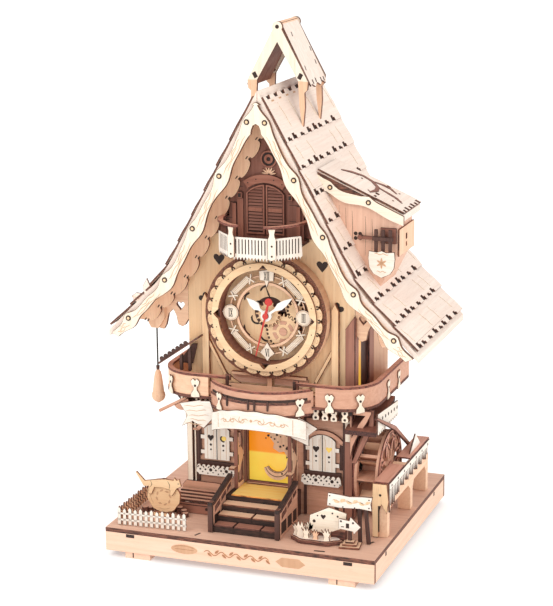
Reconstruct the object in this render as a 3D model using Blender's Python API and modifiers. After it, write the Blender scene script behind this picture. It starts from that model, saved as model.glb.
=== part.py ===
"""Wooden jigsaw model of an alpine clock house, cut from 3 mm plywood.

Lengths are millimetres and become metres where an object is made (MM).
X runs to the right, Y into the depth and Z up. The front faces -Y. The origin is
the middle of the footprint, at the height of the surface that the feet stand on.
"""

import math

import bmesh
import bpy

MM = 0.001
GAP = 0.3

# Plywood
PLY = 3.0
THIN = 2.0
VENEER = 1.2

# Base
BASE_W = 210.0
BASE_D = 194.0
SKIRT_BOTTOM = 5.0
DECK = 23.0
RUNNER_W = 20.0
RUNNER_X = 80.0

# Ground floor
HOUSE_W = 127.0
FRONT_Y = -24.0
REAR_Y = 66.0
PORCH_FLOOR = 43.0
DOOR_HALF = 18.0
DOOR_TOP = 88.0
JAMB_X = 20.5
JAMB_FRONT = -40.0
STAIR_HALF = 24.7
STAIR_FRONT = -81.0
TREAD = 9.0
STEPS = 4
WINDOW_X = 42.5
WINDOW_Z = 59.7

# Balcony
BALCONY_HALF = 82.0
BALCONY_FRONT = -40.0
BALCONY_REAR = 64.0
FLOOR_2 = 116.0
BOW_Y = -12.0
BOW_R = 48.0
CORNER_R = 26.0
RAIL_H = 17.0

# Upper floor and clock
UPPER_HALF = 66.0
UPPER_Y = -20.5
CLOCK_Z = 178.0
DRUM_R = 48.0
DRUM_IN = 44.0
BEZEL_R = 45.5
BEZEL_IN = 36.0
SHAFT_R = 2.0
HAND_BORE = 2.4
HOUR_BEARING = -52.0
MINUTE_BEARING = 54.0
SECOND_BEARING = 194.0
TOOTH = 1.0
WHEEL_TEETH = 26
PINION_TEETH = 13
WHEEL_X = 11.0
WHEEL_DZ = -13.0
MESH_ANGLE = math.radians(60.0)

# Cuckoo bay
BAY_FLOOR = 236.0
LEAF_W = 14.75
LEAF_X = 15.2
LEAF_Y = -29.0
LEAF_BOTTOM = 239.5
ARCH_TOP = 277.0
ARCH_SIDE = 270.0

# Main roof: two straight slopes joined by a flare
ROOF_APEX = 337.0
ROOF_TIP = 121.5
FLARE_START = 62.0
FLARE_END = 82.0
STEEP = 1.853
SHALLOW = 1.0
BOARD_HALF = 4.8
SLAB_IN = 1.5
SLAB_OUT = 5.0
GABLE_Y = -48.0
REAR_GABLE_Y = 84.0

# Dormer on the right slope
DORMER_PITCH = 0.44
DORMER_X = 39.0
DORMER_Z = 280.0
DORMER_END = 96.5
DORMER_FRONT = -15.0
DORMER_REAR = 23.0

# Ridge turret
TURRET_APEX = 384.0
TURRET_PITCH = 1.76
TURRET_HALF = 24.5
TURRET_FRONT = -1.2
TURRET_REAR = 38.2
FINIAL_Z = 388.5
FINIAL_R = 3.9

# Water wheel and flume
WATER_R = 31.0
WATER_Y = -2.0
WATER_Z = 58.0
WATER_X0 = 69.0
WATER_X1 = 88.0
PADDLES = 10
AXLE_R = 2.0
FLUME_X = 91.0
FLUME_W = 10.0
FLUME_TOP = 53.0

# Light pull
PULL_X = -92.4
PULL_Y = -21.0
PULL_HOUSING_Z = 160.0
CORD_TOP = 170.0
CORD_R = 0.6
WEIGHT_TOP = 126.0
WEIGHT_H = 27.0
WEIGHT_R = 5.3

# Colours (linear RGB)
CREAM = (0.80, 0.70, 0.55)
BLUSH = (0.74, 0.60, 0.49)
TAN = (0.60, 0.40, 0.23)
WALNUT = (0.24, 0.12, 0.07)
DARK = (0.10, 0.05, 0.03)
AMBER = (0.95, 0.55, 0.08)
WHITE = (0.85, 0.84, 0.80)
RED = (0.70, 0.05, 0.04)
BLACK = (0.03, 0.03, 0.03)


def clear_scene():
    for obj in list(bpy.data.objects):
        bpy.data.objects.remove(obj, do_unlink=True)


def collection(name):
    group = bpy.data.collections.new(name)
    bpy.context.scene.collection.children.link(group)
    return group


clear_scene()
MODEL = collection("clock_house")
CUTTERS = collection("clock_house_cutters")


def paint(obj, colour, rough=0.6):
    """Give an object its own plain material, in place of any that a boolean brought along."""
    obj.data.materials.clear()
    material = bpy.data.materials.new(obj.name + "_material")
    material.use_nodes = True
    shader = material.node_tree.nodes["Principled BSDF"]
    shader.inputs["Base Color"].default_value = (*colour, 1.0)
    shader.inputs["Roughness"].default_value = rough
    shader.inputs["Metallic"].default_value = 0.0
    material.diffuse_color = (*colour, 1.0)
    obj.data.materials.append(material)
    return obj


# Plane of a board: its turn, and how a pivot (across, up) and a level become X, Y, Z
PLANES = {
    "XY": ((0.0, 0.0, 0.0), lambda u, v, level: (u, v, level)),
    "XZ": ((math.pi / 2, 0.0, 0.0), lambda u, v, level: (u, level, v)),
    "YZ": ((math.pi / 2, 0.0, math.pi / 2), lambda u, v, level: (level, u, v)),
}


def plate(name, plane, outline, level, thick, colour, holes=(), pivot=(0.0, 0.0)):
    """Flat board from a closed outline, from level to level + thick, origin at pivot."""
    turn, place = PLANES[plane]
    curve = bpy.data.curves.new(name, "CURVE")
    curve.dimensions = "2D"
    curve.fill_mode = "BOTH"
    curve.extrude = thick / 2 * MM
    curve.resolution_u = 1
    curve.render_resolution_u = 0
    for ring in (outline, *holes):
        spline = curve.splines.new("POLY")
        spline.points.add(len(ring) - 1)
        for point, (u, v) in zip(spline.points, ring):
            point.co = ((u - pivot[0]) * MM, (v - pivot[1]) * MM, 0.0, 1.0)
        spline.use_cyclic_u = True
    obj = bpy.data.objects.new(name, curve)
    obj.rotation_euler = turn
    spot = place(pivot[0], pivot[1], level + thick / 2)
    obj.location = [value * MM for value in spot]
    MODEL.objects.link(obj)
    return paint(obj, colour)


def as_mesh(obj):
    """Swap a board for a welded mesh of the same shape, so that it can be cut or joined."""
    bpy.context.view_layer.update()
    graph = bpy.context.evaluated_depsgraph_get()
    mesh = bpy.data.meshes.new_from_object(obj.evaluated_get(graph))
    bm = bmesh.new()
    bm.from_mesh(mesh)
    bmesh.ops.remove_doubles(bm, verts=bm.verts, dist=1e-6)
    bm.to_mesh(mesh)
    bm.free()
    name = obj.name
    matrix = obj.matrix_world.copy()
    bpy.data.objects.remove(obj, do_unlink=True)
    solid = bpy.data.objects.new(name, mesh)
    solid.matrix_world = matrix
    MODEL.objects.link(solid)
    return solid


def bar(name, axis, centre, radius, length, colour, sides=24):
    """Round bar along X, Y or Z, centred at a point."""
    bm = bmesh.new()
    bmesh.ops.create_cone(
        bm,
        cap_ends=True,
        segments=sides,
        radius1=radius * MM,
        radius2=radius * MM,
        depth=length * MM,
    )
    mesh = bpy.data.meshes.new(name)
    bm.to_mesh(mesh)
    bm.free()
    obj = bpy.data.objects.new(name, mesh)
    obj.rotation_euler = {
        "X": (0.0, math.pi / 2, 0.0),
        "Y": (math.pi / 2, 0.0, 0.0),
        "Z": (0.0, 0.0, 0.0),
    }[axis]
    obj.location = [value * MM for value in centre]
    MODEL.objects.link(obj)
    return paint(obj, colour)


def combine(base, tool, operation):
    """Boolean of a tool into a base; the tool is kept as a hidden helper."""
    modifier = base.modifiers.new(tool.name, "BOOLEAN")
    modifier.operation = operation
    modifier.solver = "EXACT"
    modifier.object = tool
    MODEL.objects.unlink(tool)
    CUTTERS.objects.link(tool)
    tool.hide_render = True
    tool.display_type = "WIRE"
    return base


def rect(u0, v0, u1, v1):
    return [(u0, v0), (u1, v0), (u1, v1), (u0, v1)]


def arc(u, v, radius, start, stop, steps):
    """Points on an arc, angles in degrees."""
    points = []
    for index in range(steps + 1):
        angle = math.radians(start + (stop - start) * index / steps)
        points.append((u + radius * math.cos(angle), v + radius * math.sin(angle)))
    return points


def circle(u, v, radius, sides):
    return arc(u, v, radius, 0.0, 360.0, sides)[:-1]


def mirrored(half):
    """Close a right-hand outline that starts and ends on the centre line."""
    return half + [(-u, v) for u, v in reversed(half) if u > 0.0]


def box(name, low, high, colour):
    """Square-edged block between two corners."""
    outline = rect(low[0], low[1], high[0], high[1])
    return plate(name, "XY", outline, low[2], high[2] - low[2], colour)


# --- roof profile -----------------------------------------------------------------


def roof_line(x):
    """Height and steepness of the middle of the gable boards, at a distance from centre."""
    run = abs(x)
    span = FLARE_END - FLARE_START
    if run <= FLARE_START:
        return ROOF_APEX - STEEP * run, STEEP
    height = ROOF_APEX - STEEP * FLARE_START
    if run <= FLARE_END:
        part = run - FLARE_START
        ease = (STEEP - SHALLOW) / span
        return height - STEEP * part + ease * part * part / 2, STEEP - ease * part
    height -= (STEEP + SHALLOW) / 2 * span
    return height - SHALLOW * (run - FLARE_END), SHALLOW


def roof_z(x, offset):
    """Height of a surface parallel to the roof line, offset outward."""
    height, steep = roof_line(x)
    return height + offset * math.hypot(1.0, steep)


def roof_run(start, stop, offset):
    """Points along a roof surface, with the flare kept round."""
    flare = [FLARE_START, 67.0, 72.0, 77.0, FLARE_END]
    inner = [x for x in flare if min(start, stop) < x < max(start, stop)]
    if stop < start:
        inner.reverse()
    return [(x, roof_z(x, offset)) for x in [start, *inner, stop]]


# --- base -------------------------------------------------------------------------


def make_base():
    half_w = BASE_W / 2
    half_d = BASE_D / 2
    top = DECK - PLY - GAP
    side = half_d - PLY - GAP
    box("base_deck", (-half_w, -half_d, DECK - PLY), (half_w, half_d, DECK), TAN)
    box("base_front_panel", (-half_w, -half_d, SKIRT_BOTTOM), (half_w, PLY - half_d, top), CREAM)
    box("base_rear_panel", (-half_w, half_d - PLY, SKIRT_BOTTOM), (half_w, half_d, top), CREAM)
    box("base_left_panel", (-half_w, -side, SKIRT_BOTTOM), (PLY - half_w, side, top), CREAM)
    box("base_right_panel", (half_w - PLY, -side, SKIRT_BOTTOM), (half_w, side, top), CREAM)
    for name, x in (("foot_rail_left", -RUNNER_X), ("foot_rail_right", RUNNER_X)):
        low = (x - RUNNER_W / 2, 1.5 - half_d, 0.0)
        high = (x + RUNNER_W / 2, half_d - 1.5, SKIRT_BOTTOM - GAP)
        box(name, low, high, CREAM)


# --- ground floor -----------------------------------------------------------------


def make_ground_floor():
    half = HOUSE_W / 2
    low = DECK + GAP
    top = FLOOR_2 - PLY - GAP
    wall = [(half, low), (half, top), (-half, top), (-half, low), (-DOOR_HALF, low)]
    wall += [(-DOOR_HALF, DOOR_TOP), (DOOR_HALF, DOOR_TOP), (DOOR_HALF, low)]
    plate("ground_front_wall", "XZ", wall, FRONT_Y, PLY, TAN)
    depth = (FRONT_Y + PLY + GAP, REAR_Y - GAP)
    side = rect(depth[0], low, depth[1], top)
    plate("ground_left_wall", "YZ", side, -half, PLY, TAN)
    plate("ground_right_wall", "YZ", side, half - PLY, PLY, TAN)
    gable = [(0.0, low), (half, low)]
    gable += roof_run(half, 0.0, SLAB_IN - 0.4)
    plate("rear_wall", "XZ", mirrored(gable), REAR_Y, PLY, TAN)


def make_porch():
    profile = [(FRONT_Y - GAP, DECK + GAP), (FRONT_Y - GAP, PORCH_FLOOR)]
    rise = (PORCH_FLOOR - DECK) / STEPS
    for index in range(STEPS):
        front = STAIR_FRONT + TREAD * (STEPS - 1 - index)
        height = PORCH_FLOOR - rise * index
        profile += [(front, height), (front, max(height - rise, DECK + GAP))]
    plate("porch_steps", "YZ", profile, -STAIR_HALF, STAIR_HALF * 2, DARK)
    jamb = rect(JAMB_FRONT, PORCH_FLOOR + GAP, FRONT_Y - GAP, FLOOR_2 - PLY - GAP)
    brace = [(-37.5, 47.0), (-27.5, 47.0), (-27.5, 66.0), (-37.5, 55.0)]
    window = [(-37.5, 108.0)] + [(-37.5, 80.0), (-27.5, 70.0), (-27.5, 98.0)]
    window += arc(-37.5, 98.0, 10.0, 0.0, 90.0, 5)[1:-1]
    for name, x in (("porch_left_jamb", -JAMB_X - THIN), ("porch_right_jamb", JAMB_X)):
        plate(name, "YZ", jamb, x, THIN, TAN, holes=(brace, window))
    rail = [(-82.0, DECK + GAP), (-40.5, DECK + GAP), (-40.5, 54.0), (-78.0, 44.5)]
    rail += [(-78.0, 46.5), (-82.0, 46.5)]
    gaps = []
    for start, stop in ((-76.0, -65.0), (-63.0, -53.0), (-51.0, -43.0)):
        foot = [(y, 36.0 + (y + 78.0) * 0.30) for y in (start, stop)]
        head = [(y, 41.2 + (y + 78.0) * 0.253) for y in (stop, start)]
        gaps.append(foot + head)
    for name, x in (("stair_left_rail", -27.5), ("stair_right_rail", 25.0)):
        plate(name, "YZ", rail, x, 2.5, DARK, holes=gaps)


def make_door():
    low = PORCH_FLOOR + GAP
    box("door_light_panel", (-20.0, -20.7, low), (20.0, -18.7, 92.0), AMBER)
    tree = [(17.6, low + 0.4), (17.6, 87.4), (1.0, 87.4), (-1.0, 82.0), (3.0, 77.0)]
    tree += [(2.0, 73.0), (7.0, 70.0), (11.0, 71.0), (14.0, 66.0)]
    tree += arc(5.0, 62.0, 8.0, 0.0, -150.0, 8)
    tree += arc(5.0, 58.0, 10.5, -170.0, -30.0, 8)
    tree += [(15.0, 47.0)]
    plate("tree_moon_screen", "XZ", tree, -23.4, 1.5, TAN)
    box("light_module", (-10.0, -18.4, 58.0), (10.0, -10.0, 72.0), WHITE)


def shutter_outline(x):
    """Pair of closed leaves with an arched head and two hinge straps each side."""
    width = 10.2
    strap = 13.2
    half = [(0.0, WINDOW_Z), (width, WINDOW_Z)]
    for low in (WINDOW_Z + 4.0, WINDOW_Z + 16.0):
        half += [(width, low), (strap, low), (strap, low + 3.0), (width, low + 3.0)]
    half += arc(0.0, WINDOW_Z + 15.3, 13.4, 40.0, 90.0, 5)
    return [(u + x, v) for u, v in mirrored(half)]


def make_windows():
    for name, x in (("left_window_shutters", -WINDOW_X), ("right_window_shutters", WINDOW_X)):
        plate(name, "XZ", shutter_outline(x), FRONT_Y - GAP - THIN, THIN, CREAM)


def make_banner():
    """Ribbon that bows out in plan and arches in elevation."""
    bm = bmesh.new()
    columns = []
    steps = 18
    radius = 51.0
    for index in range(steps + 1):
        side = index / steps * 2.0 - 1.0
        angle = math.radians(270.0 + 46.0 * side)
        x = radius * math.cos(angle)
        y = BOW_Y + radius * math.sin(angle)
        low = 99.5 - 9.0 * side * side
        column = [bm.verts.new((x * MM, y * MM, z * MM)) for z in (low, low + 14.5)]
        columns.append(column)
    for left, right in zip(columns, columns[1:]):
        bm.faces.new((left[0], right[0], right[1], left[1]))
    mesh = bpy.data.meshes.new("welcome_banner")
    bm.to_mesh(mesh)
    bm.free()
    obj = bpy.data.objects.new("welcome_banner", mesh)
    solidify = obj.modifiers.new("thickness", "SOLIDIFY")
    solidify.thickness = 1.5 * MM
    solidify.offset = 1.0
    MODEL.objects.link(obj)
    paint(obj, CREAM)


# --- balcony ----------------------------------------------------------------------


def strip(inner, outer):
    """Closed outline of a band between two open runs of points."""
    return inner + list(reversed(outer))


def corner_run(offset):
    """Right-hand rail run: along the front, round the corner and back."""
    radius = CORNER_R + offset
    pivot = (BALCONY_HALF - CORNER_R, BALCONY_FRONT + CORNER_R)
    run = [(42.4, BALCONY_FRONT - offset)]
    run += arc(pivot[0], pivot[1], radius, -90.0, 0.0, 9)
    run.append((BALCONY_HALF + offset, BALCONY_REAR - 2.0))
    return run


def make_balcony():
    reach = math.degrees(math.asin((BOW_Y - BALCONY_FRONT) / BOW_R))
    corner_x = BALCONY_HALF - CORNER_R
    corner_y = BALCONY_FRONT + CORNER_R
    deck = [(-BALCONY_HALF, BALCONY_REAR)]
    deck += arc(-corner_x, corner_y, CORNER_R, 180.0, 270.0, 9)
    deck += arc(0.0, BOW_Y, BOW_R, 180.0 + reach, 360.0 - reach, 16)
    deck += arc(corner_x, corner_y, CORNER_R, -90.0, 0.0, 9)
    deck.append((BALCONY_HALF, BALCONY_REAR))
    plate("balcony_deck", "XY", deck, FLOOR_2 - PLY, PLY, WALNUT)
    turn = (216.0, 324.0, 16)
    bow = strip(
        arc(0.0, BOW_Y, BOW_R + GAP, *turn),
        arc(0.0, BOW_Y, BOW_R + GAP + THIN, *turn),
    )
    plate("balcony_front_railing", "XY", bow, FLOOR_2 - 6.0, RAIL_H, WALNUT)
    rail = strip(corner_run(GAP), corner_run(GAP + THIN))
    for name, hand in (("balcony_right_railing", 1), ("balcony_left_railing", -1)):
        outline = [(hand * x, y) for x, y in rail]
        plate(name, "XY", outline, FLOOR_2 - PLY, RAIL_H, WALNUT)


# --- upper floor ------------------------------------------------------------------


def make_upper_floor():
    low = FLOOR_2 + GAP
    gable = [(0.0, low), (UPPER_HALF, low)]
    gable += roof_run(UPPER_HALF, 0.0, SLAB_IN - 0.4)
    large = (WHEEL_X, CLOCK_Z + WHEEL_DZ)
    small = pinion_centre()
    holes = [circle(0.0, CLOCK_Z, 5.0, 20)]
    holes += [circle(u, v, 1.8, 12) for u, v in (large, small)]
    plate("upper_front_wall", "XZ", mirrored(gable), UPPER_Y, PLY, TAN, holes=holes)
    depth = (UPPER_Y + PLY + GAP, REAR_Y - GAP)
    side = rect(depth[0], low, depth[1], roof_z(UPPER_HALF, SLAB_IN - 0.4) - 1.0)
    plate("upper_left_wall", "YZ", side, -UPPER_HALF, PLY, TAN)
    plate("upper_right_wall", "YZ", side, UPPER_HALF - PLY, PLY, TAN)


# --- clock ------------------------------------------------------------------------


def pinion_centre():
    reach = (WHEEL_TEETH + PINION_TEETH) * TOOTH / 2
    u = WHEEL_X + reach * math.cos(MESH_ANGLE)
    v = CLOCK_Z + WHEEL_DZ + reach * math.sin(MESH_ANGLE)
    return u, v


def gear_outline(u, v, teeth, phase):
    """Spur gear with straight-sided teeth and backlash; one tooth points along phase."""
    pitch = teeth * TOOTH / 2
    step = 2 * math.pi / teeth
    corners = ((-0.24, -1.2), (-0.12, 0.8), (0.12, 0.8), (0.24, -1.2))
    points = []
    for index in range(teeth):
        for share, height in corners:
            angle = phase + step * (index + share)
            radius = pitch + height * TOOTH
            points.append((u + radius * math.cos(angle), v + radius * math.sin(angle)))
    return points


def make_gear(name, centre, teeth, phase):
    """Gear with its stub axle, turning about the axle."""
    outline = gear_outline(*centre, teeth, phase)
    front = UPPER_Y - 2.9
    gear = as_mesh(plate(name, "XZ", outline, front, 2.2, TAN, pivot=centre))
    axle_y = (front + 1.0 + UPPER_Y + PLY) / 2
    length = UPPER_Y + PLY - front - 1.0
    axle = bar(name + "_axle", "Y", (centre[0], axle_y, centre[1]), 1.2, length, TAN, sides=12)
    combine(gear, axle, "UNION")


def dial_outline(radius, reach, sides):
    """Ring edge with a pointed lobe at twelve, three, six and nine."""
    points = []
    for index in range(sides):
        angle = 2 * math.pi * index / sides
        lobe = abs(math.cos(2 * angle)) ** 24
        size = radius + (reach - radius) * lobe
        points.append((size * math.cos(angle), CLOCK_Z + size * math.sin(angle)))
    return points


def turned(shape, bearing):
    """Turn an upright hand about the dial's centre; bearing is clockwise from twelve."""
    turn = math.radians(bearing)
    points = []
    for u, v in shape:
        across = u * math.cos(turn) + v * math.sin(turn)
        up = v * math.cos(turn) - u * math.sin(turn)
        points.append((across, CLOCK_Z + up))
    return points


def leaf_hand(length, width):
    """Upright hand: a round boss, a slim stem and a pointed leaf."""
    right = [(0.9, 4.0), (0.9, length * 0.34), (width / 2, length * 0.52)]
    right.append((width * 0.4, length * 0.72))
    left = [(-u, v) for u, v in right]
    boss = arc(0.0, 0.0, 4.2, 75.0, -255.0, 16)
    return [(0.0, length)] + list(reversed(right)) + boss + left


def second_needle():
    """Upright needle with a disc on its tail."""
    shape = [(0.35, 32.0), (0.6, 2.0)] + arc(0.0, 0.0, 2.2, 60.0, -60.0, 5)
    shape += [(0.6, -8.6)] + arc(0.0, -11.5, 2.9, 75.0, -255.0, 14) + [(-0.6, -8.6)]
    shape += arc(0.0, 0.0, 2.2, 240.0, 120.0, 5) + [(-0.6, 2.0), (-0.35, 32.0)]
    return shape


def make_clock():
    ring = circle(0.0, CLOCK_Z, DRUM_R, 48)
    bore = circle(0.0, CLOCK_Z, DRUM_IN, 48)
    depth = 10.6
    plate("clock_drum", "XZ", ring, UPPER_Y - GAP - depth, depth, TAN, holes=(bore,))
    rim = circle(0.0, CLOCK_Z, BEZEL_R, 48)
    opening = circle(0.0, CLOCK_Z, BEZEL_IN, 48)
    bezel_y = UPPER_Y - GAP - depth - GAP - 4.3
    plate("clock_bezel", "XZ", rim, bezel_y, 4.3, CREAM, holes=(opening,))
    outer = dial_outline(31.0, DRUM_IN - GAP, 64)
    inner = dial_outline(23.0, 20.0, 48)
    plate("clock_dial", "XZ", outer, UPPER_Y - 7.3, THIN, CREAM, holes=(inner,))
    large = (WHEEL_X, CLOCK_Z + WHEEL_DZ)
    make_gear("clock_gear_large", large, WHEEL_TEETH, MESH_ANGLE)
    half_tooth = math.pi / PINION_TEETH
    make_gear("clock_gear_small", pinion_centre(), PINION_TEETH, MESH_ANGLE + math.pi + half_tooth)
    make_movement()
    make_hands()


def make_movement():
    """Battery movement behind the wall, with the shaft that carries the hands."""
    case = rect(-28.0, CLOCK_Z - 28.0, 28.0, CLOCK_Z + 28.0)
    front = UPPER_Y + PLY + GAP
    body = as_mesh(plate("clock_movement", "XZ", case, front, 16.0, BLACK))
    tip = UPPER_Y - 10.7
    middle = (tip + front + 2.0) / 2
    shaft = bar("hand_shaft", "Y", (0.0, middle, CLOCK_Z), SHAFT_R, front + 2.0 - tip, BLACK)
    combine(body, shaft, "UNION")


def make_hands():
    centre = (0.0, CLOCK_Z)
    bore = [circle(0.0, CLOCK_Z, HAND_BORE, 16)]
    hour = turned(leaf_hand(20.0, 6.4), HOUR_BEARING)
    plate("hour_hand", "XZ", hour, UPPER_Y - 9.0, VENEER, WHITE, holes=bore, pivot=centre)
    minute = turned(leaf_hand(26.0, 5.6), MINUTE_BEARING)
    plate("minute_hand", "XZ", minute, UPPER_Y - 10.5, VENEER, WHITE, holes=bore, pivot=centre)
    second = turned(second_needle(), SECOND_BEARING)
    plate("second_hand", "XZ", second, UPPER_Y - 12.0, 1.0, RED, pivot=centre)


# --- cuckoo bay -------------------------------------------------------------------


def arch_head(inset):
    """Right half of the door arch, from the side up to the centre."""
    half = LEAF_X - 0.2 - inset
    rise = ARCH_TOP - ARCH_SIDE
    radius = (half * half + rise * rise) / (2 * rise)
    start = math.degrees(math.acos(half / radius))
    centre = ARCH_TOP - inset - radius
    return arc(0.0, centre, radius, start, 90.0, 5)


def make_cuckoo_bay():
    frame = [(0.0, BAY_FLOOR + GAP), (29.0, BAY_FLOOR + GAP), (29.0, 262.0)]
    frame += [(19.0, 284.0), (9.0, 306.0), (0.0, 312.0)]
    doorway = [(13.6, LEAF_BOTTOM + 1.4)] + arch_head(1.4)
    opening = doorway + [(-u, v) for u, v in reversed(doorway) if u > 1e-6]
    plate("cuckoo_door_frame", "XZ", mirrored(frame), -27.5, THIN, WALNUT, holes=(opening,))
    make_leaves()
    floor = [(31.0, UPPER_Y - GAP), (31.0, -40.0), (15.0, -56.5)]
    floor += [(-u, v) for u, v in reversed(floor)]
    plate("cuckoo_balcony_floor", "XY", floor, BAY_FLOOR - THIN, THIN, WALNUT)
    near = [(31.3, -39.0), (31.3, -40.1), (15.1, -56.8)]
    far = [(32.8, -39.0), (32.8, -40.7), (15.8, -58.3)]
    inner = near + [(-u, v) for u, v in reversed(near)]
    outer = far + [(-u, v) for u, v in reversed(far)]
    plate("cuckoo_balcony_railing", "XY", strip(inner, outer), 226.0, 17.0, WHITE)


def make_leaves():
    """Arched door leaves, each with its origin on its hinge line."""
    leaf = [(LEAF_X - LEAF_W - 0.2, LEAF_BOTTOM), (LEAF_X - 0.2, LEAF_BOTTOM)]
    leaf += arch_head(0.0)[:-1] + [(LEAF_X - LEAF_W - 0.2, ARCH_TOP)]
    other = [(-u, v) for u, v in reversed(leaf)]
    for name, outline, hinge in (
        ("cuckoo_right_door", leaf, LEAF_X),
        ("cuckoo_left_door", other, -LEAF_X),
    ):
        pivot = (hinge, LEAF_BOTTOM)
        plate(name, "XZ", outline, LEAF_Y - THIN / 2, THIN, WALNUT, pivot=pivot)


# --- roof -------------------------------------------------------------------------


def make_roof():
    board = [(0.0, 338.5), (3.0, 338.0)]
    board += roof_run(5.2, ROOF_TIP - 1.0, BOARD_HALF)
    board += roof_run(ROOF_TIP - 1.0, 2.2, -BOARD_HALF)
    board.append((0.0, roof_z(2.2, -BOARD_HALF) + 1.4))
    plate("front_gable_boards", "XZ", mirrored(board), GABLE_Y, PLY, CREAM)
    plate("rear_gable_boards", "XZ", mirrored(board), REAR_GABLE_Y, PLY, CREAM)
    front = GABLE_Y + PLY + GAP
    length = REAR_GABLE_Y - GAP - front
    slab = roof_run(0.2, ROOF_TIP, SLAB_OUT) + roof_run(ROOF_TIP, 0.2, SLAB_IN)
    plate("roof_right_slope", "XZ", slab, front, length, BLUSH)
    other = [(-u, v) for u, v in reversed(slab)]
    plate("roof_left_slope", "XZ", other, front, length, BLUSH)


def dormer_z(x, drop):
    """Height below the underside of the dormer roof."""
    return DORMER_Z - DORMER_PITCH * (x - DORMER_X) - drop


def make_dormer():
    foot = 82.5
    section = [(38.0, dormer_z(38.0, 0.4)), (DORMER_END, dormer_z(DORMER_END, 0.4))]
    section += [(DORMER_END, 229.0)]
    section += roof_run(foot, 38.4, SLAB_OUT + GAP)
    width = DORMER_REAR - DORMER_FRONT
    walls = as_mesh(plate("dormer_walls", "XZ", section, DORMER_FRONT, width, TAN))
    core = [(28.0, dormer_z(28.0, 3.4)), (93.5, dormer_z(93.5, 3.4)), (93.5, 230.5)]
    core += [(77.0, 200.0), (28.0, 240.0)]
    hollow = as_mesh(plate("dormer_core", "XZ", core, DORMER_FRONT + PLY, width - 2 * PLY, TAN))
    combine(walls, hollow, "DIFFERENCE")
    paint(walls, TAN)
    thick = 4.8
    roof = [(36.8, dormer_z(36.8, 0.0)), (101.0, dormer_z(101.0, 0.0))]
    roof += [(101.0, dormer_z(101.0, -thick)), (33.1, dormer_z(33.1, -thick))]
    plate("dormer_roof", "XZ", roof, DORMER_FRONT - 1.5, 45.5, BLUSH)


def turret_z(x, offset):
    return TURRET_APEX - TURRET_PITCH * abs(x) + offset * math.hypot(1.0, TURRET_PITCH)


def make_turret():
    outer = arc(0.0, FINIAL_Z, FINIAL_R, 90.0, -30.0, 5)
    frame = outer + [(23.5, turret_z(23.5, 3.2)), (23.0, 343.0), (20.8, 341.0)]
    frame += [(21.2, 330.0), (19.5, 312.4), (17.0, 331.0), (16.0, turret_z(16.0, -3.2))]
    frame.append((0.0, turret_z(0.0, -3.2)))
    ring = [circle(0.0, FINIAL_Z, 1.4, 10)]
    for name, y in (("turret_front_frame", TURRET_FRONT), ("turret_rear_frame", TURRET_REAR)):
        plate(name, "XZ", mirrored(frame), y, PLY, TAN, holes=ring)
    roof = [(0.0, turret_z(0.0, 3.2)), (TURRET_HALF, turret_z(TURRET_HALF, 3.2))]
    roof += [(TURRET_HALF, turret_z(TURRET_HALF, 0.4)), (0.0, turret_z(0.0, 0.4))]
    front = TURRET_FRONT + PLY + GAP
    length = TURRET_REAR - GAP - front
    plate("turret_roof", "XZ", mirrored(roof), front, length, BLUSH)


# --- water wheel ------------------------------------------------------------------


def paddle_outline():
    """Hub with straight radial paddles."""
    points = []
    half = 1.2
    hub = 9.0
    for index in range(PADDLES):
        angle = 2 * math.pi * index / PADDLES
        lean = math.asin(half / hub)
        cos_a = math.cos(angle)
        sin_a = math.sin(angle)
        inner = hub * math.cos(lean)
        tip = WATER_R - 0.6
        for along, across in ((inner, -half), (tip, -half), (tip, half), (inner, half)):
            u = WATER_Y + along * cos_a - across * sin_a
            v = WATER_Z + along * sin_a + across * cos_a
            points.append((u, v))
    return points


def make_water_wheel():
    pivot = (WATER_Y, WATER_Z)
    bore = circle(WATER_Y, WATER_Z, AXLE_R + GAP, 20)
    width = WATER_X1 - WATER_X0
    paddles = plate(
        "water_wheel", "YZ", paddle_outline(), WATER_X0, width, WALNUT, holes=(bore,), pivot=pivot
    )
    wheel = as_mesh(paddles)
    for name, x in (("rim_inner", WATER_X0 + 0.4), ("rim_outer", WATER_X1 - 2.4)):
        edge = circle(WATER_Y, WATER_Z, WATER_R, 40)
        hole = circle(WATER_Y, WATER_Z, WATER_R - 5.0, 40)
        rim = as_mesh(plate(name, "YZ", edge, x, THIN, TAN, holes=(hole,), pivot=pivot))
        combine(wheel, rim, "UNION")
    paint(wheel, WALNUT)
    start = HOUSE_W / 2 + GAP
    stop = FLUME_X + FLUME_W - 0.5
    middle = ((start + stop) / 2, WATER_Y, WATER_Z)
    bar("wheel_axle", "X", middle, AXLE_R, stop - start, DARK)


def make_flume():
    """Raised trough on three legs, with the outer bearing of the wheel."""
    low = DECK + GAP
    outline = [(-52.0, low), (-46.0, low), (-46.0, 40.0), (-42.0, 45.0), (4.0, 45.0)]
    outline += [(10.0, 40.0), (10.0, low), (16.0, low), (16.0, 40.0), (20.0, 45.0)]
    outline += [(50.0, 45.0), (54.0, 40.0), (54.0, low), (60.0, low), (60.0, FLUME_TOP)]
    outline += [(5.0, FLUME_TOP), (3.5, 61.0)]
    outline += arc(WATER_Y, 60.0, 5.0, 0.0, 180.0, 8)[1:-1]
    outline += [(-7.5, 61.0), (-9.0, FLUME_TOP), (-52.0, FLUME_TOP)]
    bore = circle(WATER_Y, WATER_Z, AXLE_R + GAP, 20)
    plate("flume", "YZ", outline, FLUME_X, FLUME_W, TAN, holes=(bore,))


def make_chute():
    """Sloping board that brings water over the wheel."""
    chute = [(-38.0, 95.0), (12.0, 108.8), (12.0, 112.2), (-38.0, 98.4)]
    plate("water_chute", "YZ", chute, HOUSE_W / 2 + GAP, 24.0, DARK)


# --- yard and light pull ----------------------------------------------------------


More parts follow.
